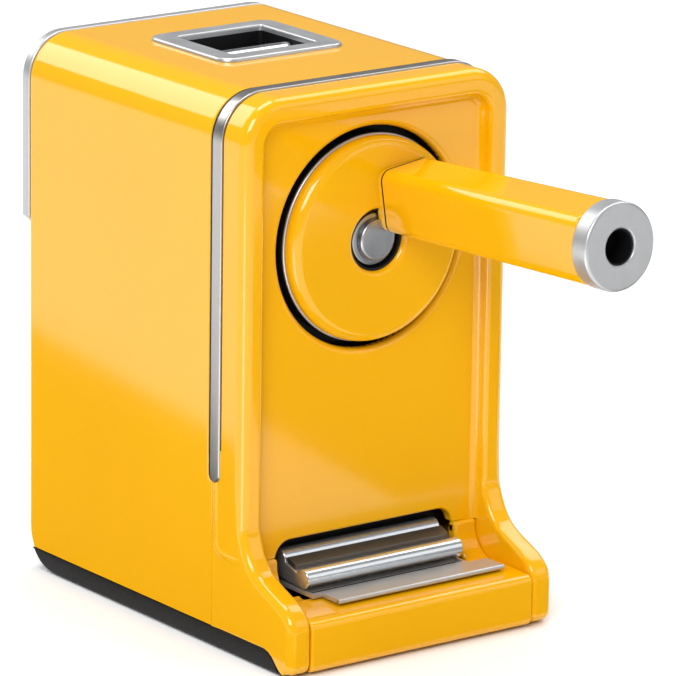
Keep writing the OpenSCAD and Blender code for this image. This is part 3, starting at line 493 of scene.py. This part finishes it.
chrome = bright_metal("bright_trim", (0.62, 0.62, 0.64), 0.16)
satin = bright_metal("satin_trim", (0.50, 0.49, 0.48), 0.3)
trim = Moulding()
seal_w, seal_h = 0.75, 0.12
sunk = -0.5                         # how deep both strips reach into the groove
band_w = trim_high[1] - trim_low[1] - seal_w
band_mid = trim_low[1] + band_w / 2
proud = trim_high[0] - half_w
tip = band_w / 2
tips = [trim_low[2] + tip * (1 - cos(radians(a))) for a in range(0, 91, 10)]
path = arch_path(half_w, top_z, corner_r, tips[-1] + 2, legs=5)
path = [(-half_w, z, -1, 0) for z in tips] + path + [(half_w, z, 1, 0) for z in tips[::-1]]
rows = []
for x, z, nx, nz in path:
    into_tip = min(tip, max(0.02, z - trim_low[2]))
    half = sqrt(tip**2 - (tip - into_tip)**2)
    edge = min(0.35, half * 0.5)
    section = [(sunk, -half), (proud - 0.32, -half)]
    section += [(proud - 0.32 * (1 - sin(radians(a))), -half + edge * (1 - cos(radians(a))))
                for a in (30, 60, 90)]
    section += [(proud, -half * 0.3), (proud, half * 0.3)]
    section += [(h, -y) for h, y in section[4:0:-1]] + [(sunk, half)]
    rows.append([(x + nx * h, band_mid + y, z + nz * h) for h, y in section])
trim.skin(rows)
trim.make("trim_band_strip", satin, "housing", "bright_trim", ["trim_band"])

# A black seal fills the joint behind the band.
black = soft_gloss("black_plastic", (0.006, 0.006, 0.007), (0.010, 0.010, 0.011), grain=1500, bump=0.1,
                   rough=0.42)
black.node_tree.nodes["Principled BSDF"].inputs["Coat Weight"].default_value = 0
black.node_tree.nodes["Principled BSDF"].inputs["Specular IOR Level"].default_value = 0.22
seal = Moulding()
rows = []
for x, z, nx, nz in path:
    into_tip = min(tip, max(0.02, z - trim_low[2]))
    edge = band_mid + sqrt(tip**2 - (tip - into_tip)**2)
    section = [(sunk, edge - 0.2), (seal_h - 0.02, edge - 0.05), (seal_h, edge + seal_w * 0.8),
               (sunk, edge + seal_w)]
    rows.append([(x + nx * h, y, z + nz * h) for h, y in section])
seal.skin(rows)
seal.make("trim_seal", black, "housing", "black_plastic")

# ---------------------------------------------------------------------------------------
# Crank disc: a glossy yellow moulding with a well-rounded front edge and a stepped hole
# for the hub nut. A low square seat on its face carries the grip.
# ---------------------------------------------------------------------------------------
# The crank's yellow is the shell's yellow a little less orange, its own hue, and a little darker as painted
# shade for the disc's darker look; the grip wears it too.
yellow_crank = soft_gloss("yellow_crank", (0.87, 0.446, 0.002), (0.85, 0.424, 0.002))


def roll(radius, start, end, step, at_radius, at_depth, out=1, into=1):
    """Quarter round of a turned profile, as (radius, depth)."""
    return [(at_radius + out * radius * cos(radians(a)), at_depth + into * radius * sin(radians(a)))
            for a in range(start, end + (1 if end > start else -1), step)]


def turned(shape, profile, place, steps=96, closed=True):
    """Turns a profile of (radius, depth) points; place maps x, y and depth to the row frame."""
    rows = []
    for i in range(steps):
        a = 2 * pi * i / steps
        rows.append([place(r * cos(a), r * sin(a), d) for r, d in profile])
    shape.skin(rows, ring=closed, wrap=True)


def on_spindle(x, z, depth):
    """From the crank disc's face backwards, round the spindle."""
    return spindle_x + x, rim_y + depth, axis_z + z


def stack(shape, line, levels, place, sense=1):
    """Skins rings of a closed outline, each moved in by an inset, at a depth. sense is -1 for a hole."""
    normals = []
    for i in range(len(line)):
        (ax, ay), (bx, by) = line[i - 1], line[(i + 1) % len(line)]
        size = hypot(bx - ax, by - ay) or 1
        normals.append(((by - ay) / size, -(bx - ax) / size))
    rows = [[place(u - sense * nu * inset, v - sense * nv * inset, w)
             for (u, v), (nu, nv) in zip(line, normals)] for inset, w in levels]
    shape.skin(rows, ring=True)
    return rows


def plate(shape, outline, depth, place, front=0.4, back=0.4, holes=(), hole_edge=0.3, step=18):
    """A plate with rolled edges. Its outline runs counter-clockwise, and depth 0 is its front face."""

    def edges(roll_front, roll_back):
        return (quarter(roll_front, 90, 0, step)
                + [(inset, depth - drop) for inset, drop in quarter(roll_back, 0, 90, step)])

    outer = stack(shape, outline, edges(front, back), place)
    inner = [stack(shape, hole, edges(hole_edge, hole_edge), place, -1) for hole in holes]
    shape.cap(outer[0], [rows[0] for rows in inner])
    shape.cap(outer[-1], [rows[-1] for rows in inner])


def round_square(width, height, radius, steps=6, x=0, y=0):
    """Rounded rectangle, counter-clockwise."""
    points = []
    for sx, sy, start in ((1, -1, -90), (1, 1, 0), (-1, 1, 90), (-1, -1, 180)):
        cx, cy = x + sx * (width / 2 - radius), y + sy * (height / 2 - radius)
        points += arc(cx, cy, radius, start, start + 90, steps)
    return points


disc_low, disc_high = extents("disc_edge_ring")
disc_r = disc_high[0] - spindle_x - 0.3
disc_back = disc_low[1] - rim_y
hub_hole, hub_roll = 6.75, 1.0
disc = Moulding()
profile = roll(2.3, 90, 0, -10, disc_r - 2.3, 2.3, 1, -1)
profile += [(disc_r, disc_back - 0.25), (disc_r - 0.25, disc_back), (hub_hole, disc_back)]
profile += roll(hub_roll, 180, 90, -15, hub_hole + hub_roll, hub_roll, 1, -1)
turned(disc, profile, on_spindle)

grip_root = Vector([1000 * value for value in joint("grip_spin")["pos_m"]])
grip_turn = atan2(grip_root.z - axis_z, grip_root.x - spindle_x)
splay, grip_roll = radians(3), radians(7)
axle_frame = (Matrix.Rotation(-grip_turn, 3, "Y") @ Matrix.Rotation(radians(90), 3, "X")
              @ Matrix.Rotation(splay, 3, "Y") @ Matrix.Rotation(grip_roll - grip_turn, 3, "Z"))


def on_axle(u, v, out):
    """From the disc's face outwards, round the grip's axle."""
    return tuple(grip_root + axle_frame @ Vector((u, v, out)))


grip_w, grip_corner, seat_h = 14.4, 2.5, 0.6
taper = 0.033                       # the grip widens towards its cap by this share on each side
seat_w = grip_w * (1 - taper) - 0.1
plate(disc, round_square(seat_w, seat_w, grip_corner), seat_h + 1.5,
      lambda u, v, w: on_axle(u, v, seat_h - w), front=0.25, back=0.05)
disc.make("crank_disc_body", yellow_crank, "crank", "yellow_crank", ["crank_disc"])

# A black sleeve in the hub's hole is painted shade: it makes the hole's wall as dark as the shadow in it.
hub_shade_lining, hub_shade_wall = Moulding(), 0.5
turned(hub_shade_lining, [(hub_hole - hub_shade_wall, hub_roll), (hub_hole + 0.02, hub_roll - 0.1),
                (hub_hole + 0.02, disc_back), (hub_hole - hub_shade_wall, disc_back)], on_spindle)
hub_shade_lining.make("hub_painted_shade_sleeve", black, "crank", "black_plastic")

# A thin black washer lies between the seat and the grip.
washer, washer_t = Moulding(), 0.2
plate(washer, round_square(seat_w + 0.1, seat_w + 0.1, grip_corner), washer_t,
      lambda u, v, w: on_axle(u, v, seat_h + washer_t - w), front=0.02, back=0.02)
washer.make("grip_washer", black, "crank", "black_plastic")

# Bright edge ring behind the disc, pressed on its black drum.
pale_satin = bright_metal("pale_satin", (0.62, 0.62, 0.62), 0.36, metallic=0.8)
ring = Moulding()
ring_out, ring_t = disc_high[0] - spindle_x, disc_high[1] - disc_low[1]
profile = [(ring_out - 1.5, disc_back)] + roll(0.3, 90, 0, -30, ring_out - 0.3, disc_back + 0.3, 1, -1)
profile += roll(0.3, 0, 90, 30, ring_out - 0.3, disc_back + ring_t - 0.3)
profile.append((ring_out - 1.5, disc_back + ring_t))
turned(ring, profile, on_spindle)
ring.make("disc_bright_ring", pale_satin, "crank", "bright_trim", ["disc_edge_ring"])

# Hub nut: a turned and plated button with a flange, screwed on the spindle's end.
nut = Moulding()
flange_r, face_r = 5.8, 4.45
profile = [(0, 0.12)] + roll(0.6, 90, 0, -15, face_r - 0.6, 0.72, 1, -1)
profile += [(face_r, 1.35), (face_r + 0.15, 1.6)] + roll(0.45, 90, 0, -15, flange_r - 0.45, 2.05, 1, -1)
profile += [(flange_r, 3.15), (0, 3.15)]
turned(nut, profile, on_spindle, closed=False)
turned_steel = bright_metal("turned_steel", (0.48, 0.50, 0.52), 0.3)
nut.make("hub_button", turned_steel, "crank", "bright_trim", ["hub_nut"])

# ---------------------------------------------------------------------------------------
# Grip: a square hollow handle of glossy yellow plastic that turns on the crank's axle,
# closed by a turned and plated end cap with a round hole for the axle's screw.
# ---------------------------------------------------------------------------------------
ferrule_r, ferrule_t, ferrule_hole = 9.3, 4.6, 3.85
corners = [v.co * 1000 for v in frame["nodes"]["grip_ferrule"].data.vertices]
reach = max((p - grip_root).dot(axle_frame @ Vector((0, 0, 1))) for p in corners)
sleeve_end = reach - ferrule_t
sleeve_start = seat_h + washer_t + 0.05
sleeve = Moulding()
bore = arc(0, 0, ferrule_hole + 0.1, 0, 360, 40)[:-1]


def tapered(u, v, w):
    """From the sleeve's outer end down to its root."""
    wide = 1 + taper * (1 - 2 * w / (sleeve_end - sleeve_start))
    return on_axle(u * wide, v * wide, sleeve_end - w)


plate(sleeve, round_square(grip_w, grip_w, grip_corner), sleeve_end - sleeve_start, tapered,
      front=0.5, back=0.3, holes=[bore], hole_edge=0.1)
sleeve.make("grip_handle", yellow_crank, "grip", "yellow_crank", ["grip_sleeve"])

plated_face = bright_metal("plated_cap", (0.58, 0.59, 0.60), 0.36, bump=0.03, metallic=0.7)
cap = Moulding()
profile = roll(0.45, 180, 90, -15, ferrule_hole + 0.45, reach - 0.45, 1, 1)
profile += roll(0.7, 90, 0, -15, ferrule_r - 0.7, reach - 0.7)
profile += [(ferrule_r, sleeve_end + 0.45)] + roll(0.4, 0, -90, -30, ferrule_r - 0.4, sleeve_end + 0.42)
profile += [(5.2, sleeve_end + 0.02), (5.2, reach - 9), (ferrule_hole, reach - 9)]
turned(cap, profile, on_axle)
cap.make("grip_end_cap", plated_face, "grip", "bright_trim", ["grip_ferrule"])

# A black bush in the end cap's hole is painted shade: it makes the hole look as dark as the shadow in it.
shade_bush, bush_wall, bush_depth = Moulding(), 0.35, 6
bush_line = [(ferrule_hole - 0.02, reach - 0.5), (ferrule_hole - bush_wall, reach - 0.6),
             (ferrule_hole - bush_wall, reach - bush_depth), (0, reach - bush_depth),
             (0, reach - bush_depth - 0.6), (ferrule_hole - 0.02, reach - bush_depth - 0.6)]
turned(shade_bush, bush_line, on_axle, steps=64)
shade_bush.make("cap_painted_shade_bush", black, "grip", "black_plastic")

# ---------------------------------------------------------------------------------------
# Selector: a plated bezel on the top frames a black well, in which a plated bar slides
# back and forth to set how sharp the point is cut.
# ---------------------------------------------------------------------------------------
bezel_w, bezel_l = bezel_high[0] - bezel_low[0], bezel_high[1] - bezel_low[1]
well_w, well_l = bezel_w - 10, bezel_l - 9
bezel = Moulding()


def from_top(u, v, depth):
    """Downwards from the bezel's face."""
    return u, well_mid + v, bezel_high[2] - depth


outer_line = round_square(bezel_w, bezel_l, 3.5)
inner_line = round_square(well_w, well_l, 0.9)
outer_rows = stack(bezel, outer_line, quarter(0.75, 90, 0) + [(0, 0.98)], from_top)
collar, well_depth = 1.3, bezel_high[2] - bezel_low[2]
inner_edge = quarter(0.5, 90, 0) + [(0, collar), (0.4, collar), (0.4, well_depth)]
inner_rows = stack(bezel, inner_line, inner_edge, from_top, -1)
bezel.cap(outer_rows[0], [inner_rows[0]])
bezel.make("selector_bezel", plated_face, "housing", "bright_trim", ["top_bezel"])

# Below its bright collar the well is lined with black plastic.
liner = Moulding()
stack(liner, inner_line, [(0.3, collar + 0.02), (0.02, collar + 0.02), (0.02, well_depth), (0.3, well_depth)],
      from_top, -1)
liner.make("well_liner", black, "housing", "black_plastic")

bar_low, bar_high = extents("selector_bar")
bar = Moulding()
crest_r = 2.5
bar_line = [(bar_low[1], bar_low[2]), (bar_high[1], bar_low[2])]
bar_line += arc(bar_high[1] - crest_r, bar_high[2] - crest_r, crest_r, 0, 125, 12)
bar_line.append((bar_low[1], bar_low[2] + 0.6))
plate(bar, bar_line, bar_high[0] - bar_low[0], lambda u, v, w: (bar_low[0] + w, u, v), front=0.2, back=0.2)
bar.make("selector_slider", chrome, "selector", "bright_trim", ["selector_bar"])

# ---------------------------------------------------------------------------------------
# Drawer front: one pressed and plated strip with two round ridges over a valley darkened by
# a strip of painted shade, and a flat pull below them with a rolled lip and a finger slot.
# ---------------------------------------------------------------------------------------
pressed = bright_metal("pressed_chrome", (0.76, 0.80, 0.84), 0.2, streak=(0.15, 1, 1), metallic=0.85)
front_low, front_high = extents("drawer_front")
tongue_low, tongue_high = extents("pull_tongue")
ridge_r = 2.2
ridge_1 = (front_high[1] - ridge_r, front_high[2] - ridge_r)
ridge_2 = (front_low[1] + ridge_r, front_low[2] + ridge_r)
front_half = front_high[0]
valley_painted_shade = bright_metal("valley_painted_shade", (0.16, 0.17, 0.18), 0.3, streak=(0.15, 1, 1), metallic=0.8)
valley = Moulding()
down = atan2(ridge_1[1] - ridge_2[1], ridge_1[0] - ridge_2[0]) * 180 / pi
line = arc(*ridge_1, ridge_r, 0, 180 + down - 12, 14) + arc(*ridge_2, ridge_r, down + 12, 265, 14)
line += [(front_high[1], ridge_2[1] - 1.5)]
plate(valley, line, 2 * front_half, lambda u, v, w: (front_half - w, u, v), front=0.35, back=0.35)
valley.make("drawer_front_pressing", pressed, "drawer", "pressed_chrome", ["drawer_front"])

# A dark strip in the valley between the ridges is painted shade: it stands in for the shade that falls
# between them.
shade_strip, shade_strip_half = Moulding(), 1.4
mid_y, mid_z = (ridge_1[0] + ridge_2[0]) / 2, (ridge_1[1] + ridge_2[1]) / 2 + 0.55
section = [(mid_y - shade_strip_half, mid_z + 0.6), (mid_y + shade_strip_half, mid_z + 1.6),
           (mid_y + shade_strip_half, mid_z), (mid_y - shade_strip_half, mid_z - 1)]
plate(shade_strip, section, 2 * front_half - 0.6, lambda u, v, w: (front_half - 0.3 - w, u, v), front=0.05, back=0.05)
shade_strip.make("drawer_valley_painted_shade", valley_painted_shade, "drawer", "pressed_chrome")

pull = Moulding()
slot_low, slot_high, slot_half = ridge_2[0] - ridge_r - 0.8, ridge_2[0] - ridge_r + 2.2, front_half - 0.6
lip_r = (tongue_high[2] - tongue_low[2]) / 2
lip_y = tongue_low[1] + lip_r
left_x = -18.4                      # the plate reaches less far to the left than to the right
neck_y = panel_y - 9.4
pull_t = 0.9
sheet = [(lip_y, left_x), (lip_y, tongue_high[0]), (neck_y, tongue_high[0]), (neck_y, front_half),
         (tongue_high[1], front_half), (tongue_high[1], -front_half), (neck_y, -front_half), (neck_y, left_x)]
slot = [(slot_low, -slot_half), (slot_high, -slot_half), (slot_high, slot_half), (slot_low, slot_half)]
plate(pull, [(x, y) for y, x in sheet], pull_t, lambda u, v, w: (u, v, tongue_high[2] - 0.1 - w),
      front=0.12, back=0.12, holes=[[(x, y) for y, x in slot]], hole_edge=0.1, step=45)
lip = arc(lip_y, tongue_high[2] - lip_r, lip_r, 0, 360, 20)[:-1]
plate(pull, lip, tongue_high[0] - left_x, lambda u, v, w: (tongue_high[0] - w, u, v), front=0.15, back=0.15)
pull.make("drawer_pull", plated_face, "drawer", "pressed_chrome", ["pull_tongue"])

# ---------------------------------------------------------------------------------------
# Base: a black moulded plate closes the housing from below; its sides show as a dark
# plinth that ends in a curve behind the cheeks.
# ---------------------------------------------------------------------------------------
base = Moulding()
back_round = floor_gap + rear_bend
low_arc = arc(rear_y - rear_bend, back_round, rear_bend, -90, 0, 12)
plinth = [(foot_y + 3.6, floor_gap)] + [(y, z) for y, z in low_arc if z < base_top - 0.1]
plinth += [(rear_edge(base_top - 0.08), base_top - 0.08), (foot_y + 9.6, base_top - 0.08)]
plinth += [(foot_y + 8.1, base_top - 0.6), (foot_y + 6.8, floor_gap + 2.65), (foot_y + 5.6, floor_gap + 1.45),
           (foot_y + 4.6, floor_gap + 0.5)]
plate(base, plinth, 2 * half_w - 0.2, lambda u, v, w: (half_w - 0.1 - w, u, v), front=0.3, back=0.3)
base.make("plinth", black, "housing", "black_plastic", ["base_plate"])

# ---------------------------------------------------------------------------------------
# Rear feed: a polished plate on two guide rods carries a black cover and two black levers
# that grip the pencil. Coil springs on the rods pull the plate towards the cutters.
# ---------------------------------------------------------------------------------------
feed_low, feed_high = extents("feed_plate")
feed = Moulding()
shield_r = 20.0
feed_t = feed_high[1] - feed_low[1]
low_z = axis_z - 9.1
cut = 2.4
line = [(x, z) for x, z, *_ in arch_path(half_w, top_z, corner_r, low_z + cut, legs=3)][::-1]
tail = arc(spindle_x, axis_z, shield_r, 180 + 27.06, 360 - 27.06, 24)
line += [(-half_w + cut, low_z)] + tail + [(half_w - cut, low_z)]
port_r = 4.6
holes = [arc(spindle_x, axis_z, port_r + 0.6, 0, 360, 40)[:-1]]
plate(feed, line, feed_t, lambda u, v, w: (-u, feed_high[1] - w, v), front=0.7, back=0.5, holes=holes)
feed.make("feed_face", plated_face, "feed_carriage", "bright_trim", ["feed_plate"])


def helix(shape, start, direction, across, radius, wire, length, turns, steps=24, sides=8):
    """A closed coil of round wire along a direction."""
    along = Vector(direction)
    first = Vector(across)
    second = along.cross(first)
    rows = []
    for i in range(turns * steps + 1):
        a = 2 * pi * i / steps
        out = first * cos(a) + second * sin(a)
        centre = Vector(start) + out * radius + along * (wire + (length - 2 * wire) * i / (turns * steps))
        rows.append([tuple(centre + out * wire * cos(b) + along * wire * sin(b))
                     for b in [2 * pi * j / sides for j in range(sides)]])
    shape.skin(rows, ring=True)
    shape.cap(rows[0])
    shape.cap(rows[-1])


steel = bright_metal("steel", (0.56, 0.57, 0.59), 0.26)
for side, name in ((-1, "left"), (1, "right")):
    low, high = extents(f"feed_spring_{name}")
    spring = Moulding()
    centre_x, centre_z = (low[0] + high[0]) / 2, (low[2] + high[2]) / 2
    helix(spring, (centre_x, low[1], centre_z), (0, 1, 0), (1, 0, 0), 3.6, 0.45, high[1] - low[1], 11)
    coil = spring.make(f"return_spring_{name}", steel, "housing", "steel", [f"feed_spring_{name}"])
    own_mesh(coil)

low, high = extents("jaw_spring")
spring = Moulding()
centre_y, centre_z = (low[1] + high[1]) / 2, (low[2] + high[2]) / 2
helix(spring, (low[0], centre_y, centre_z), (1, 0, 0), (0, 1, 0), 1.15, 0.3, high[0] - low[0], 12)
coil = spring.make("lever_spring", steel, "feed_carriage", "steel", ["jaw_spring"])
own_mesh(coil)

# ---------------------------------------------------------------------------------------
# Turned, cut and moulded pieces that keep the shape of the CAD model: their sharp edges
# are eased, and each gets the finish of its own stock.
# ---------------------------------------------------------------------------------------
brass = bright_metal("gear_brass", (0.66, 0.44, 0.14), 0.24)
cutter_steel = bright_metal("cutter_steel", (0.42, 0.43, 0.45), 0.2, streak=(1, 0.2, 1))
die_cast = bright_metal("die_cast", (0.45, 0.46, 0.48), 0.42, bump=0.12, grain=600)
iron = bright_metal("ballast_iron", (0.06, 0.06, 0.065), 0.55, bump=0.25, metallic=0.6)
rubber = soft_gloss("black_rubber", (0.016, 0.016, 0.016), (0.024, 0.024, 0.024), grain=2200, bump=0.35,
                    rough=0.75)
rubber.node_tree.nodes["Principled BSDF"].inputs["Coat Weight"].default_value = 0


def dress(nodes, material, edge):
    """Eases the edges of CAD nodes and gives them a finish."""
    for name in nodes:
        node = frame["nodes"][name]
        for place in node.material_slots:
            place.material = material
        if not node.material_slots:
            node.data.materials.append(material)
        if edge:
            flat = node.modifiers.new("clean_faces", "DECIMATE")
            flat.decimate_type = "DISSOLVE"
            flat.angle_limit = radians(1)
            ease = node.modifiers.new("eased_edges", "BEVEL")
            ease.width = edge / 1000
            ease.segments = 2
            ease.limit_method = "ANGLE"
            ease.angle_limit = radians(40)
            ease.harden_normals = False
            weigh = node.modifiers.new("even_shading", "WEIGHTED_NORMAL")
            weigh.keep_sharp = True


dress(["rear_cover", "drawer_deck", "shavings_hopper", "well_floor", "disc_drum", "dish_liner",
       "pencil_guide", "shavings_tray", "jaw_cover", "jaw_lever_left", "jaw_lever_right", "axle_screw"],
      black, 0.25)
dress(["base_screws", "case_bolts", "frame_front", "frame_rear", "frame_screws", "tie_rods", "spindle",
       "spindle_spacer", "drive_pin", "grip_axle", "axle_nut", "cutter_pins", "selector_slide",
       "rod_collars", "jaw_pins"], steel, 0.15)
dress(["guide_rods"], chrome, 0.3)
dress(["cutter_1", "cutter_2"], cutter_steel, 0)
dress(["cutter_carrier"], die_cast, 0.2)
dress(["ring_gear", "cutter_pinion_1", "cutter_pinion_2"], brass, 0)
dress(["spindle_bush", "rod_bushes"], brass, 0.2)
dress(["rubber_feet", "grip_pad"], rubber, 0.25)
dress(["ballast_plate"], iron, 0.3)

# ---------------------------------------------------------------------------------------
# Studio: a white table, a large soft light over the left shoulder, a weak fill from the
# right, one light overhead, one for the ridges of the drawer and one from behind for the
# edges. Cards on the table darken or brighten what the gloss mirrors.
# ---------------------------------------------------------------------------------------
table_mesh = bpy.data.meshes.new("table")
size = 4.0
sheet = [(-size, -size, 0), (size, -size, 0), (size, size, 0), (-size, size, 0)]
table_mesh.from_pydata(sheet, [], [(0, 1, 2, 3)])
table = bpy.data.objects.new("table", table_mesh)
bpy.context.scene.collection.objects.link(table)
paper = bpy.data.materials.new("pale_table")
paper.use_nodes = True
paper.node_tree.nodes["Principled BSDF"].inputs["Base Color"].default_value = (0.99, 0.99, 0.99, 1)
paper.node_tree.nodes["Principled BSDF"].inputs["Roughness"].default_value = 0.8
table_mesh.materials.append(paper)


def floor_card(name, corners, material):
    """A card laid on the table, out of sight: it only changes what the gloss mirrors."""
    mesh = bpy.data.meshes.new(name)
    mesh.from_pydata([(x, y, 0.001) for x, y in corners], [], [tuple(range(len(corners)))])
    card = bpy.data.objects.new(name, mesh)
    bpy.context.scene.collection.objects.link(card)
    card.visible_camera = card.visible_diffuse = card.visible_shadow = card.visible_transmission = False
    mesh.materials.append(material)


card_black = bpy.data.materials.new("card_black")
card_black.use_nodes = True
card_black.node_tree.nodes["Principled BSDF"].inputs["Base Color"].default_value = (0.01, 0.01, 0.01, 1)
card_black.node_tree.nodes["Principled BSDF"].inputs["Roughness"].default_value = 0.9
floor_card("left_card", [(-0.040, -0.08), (-0.104, -0.08), (-0.129, 0.105), (-0.152, 0.26), (-0.040, 0.075)],
           card_black)
floor_card("front_card", [(0.060, -0.095), (0.080, -0.208), (0.108, -0.26), (0.17, -0.335), (0.34, -0.335),
                          (0.24, -0.095)], card_black)
floor_card("toe_card", [(-0.045, -0.0515), (-0.02, -0.092), (0.10, -0.092), (0.08, -0.0515)], card_black)
card_bright = bpy.data.materials.new("card_bright")
card_bright.use_nodes = True
card_bright.node_tree.nodes["Principled BSDF"].inputs["Emission Color"].default_value = (1, 1, 1, 1)
card_bright.node_tree.nodes["Principled BSDF"].inputs["Emission Strength"].default_value = 3.5
floor_card("edge_card", [(-0.075, -0.075), (-0.30, -0.30), (-0.42, -0.22), (-0.095, -0.055)], card_bright)


def soft_light(name, place, target, width, height, power, colour=(1, 1, 1)):
    """A rectangular studio light that looks at a target."""
    data = bpy.data.lights.new(name, "AREA")
    data.shape = "RECTANGLE"
    data.size, data.size_y = width, height
    data.energy = power
    data.color = colour
    light = bpy.data.objects.new(name, data)
    bpy.context.scene.collection.objects.link(light)
    light.location = place
    light.rotation_euler = (Vector(target) - Vector(place)).to_track_quat("-Z", "Y").to_euler()


soft_light("key", (-1.1, -0.9, 1.1), (0, 0, 0.06), 0.8, 0.8, 18)
soft_light("fill", (0.9, -1.3, 0.7), (0, 0, 0.06), 0.9, 0.8, 2.2)
soft_light("overhead", (0, 0.2, 1.5), (0, 0, 0.06), 0.8, 0.8, 11.5)
soft_light("ridge", (0.85, 0.1, 1.1), (0, 0, 0.04), 0.7, 0.9, 6)
soft_light("edge", (-0.45, 1.2, 0.95), (0, 0, 0.08), 0.8, 0.8, 7)
world = bpy.data.worlds.new("studio")
world.use_nodes = True
world.node_tree.nodes["Background"].inputs["Color"].default_value = (1, 1, 1, 1)
world.node_tree.nodes["Background"].inputs["Strength"].default_value = 0.25
bpy.context.scene.world = world
bpy.context.scene.view_settings.view_transform = "Standard"
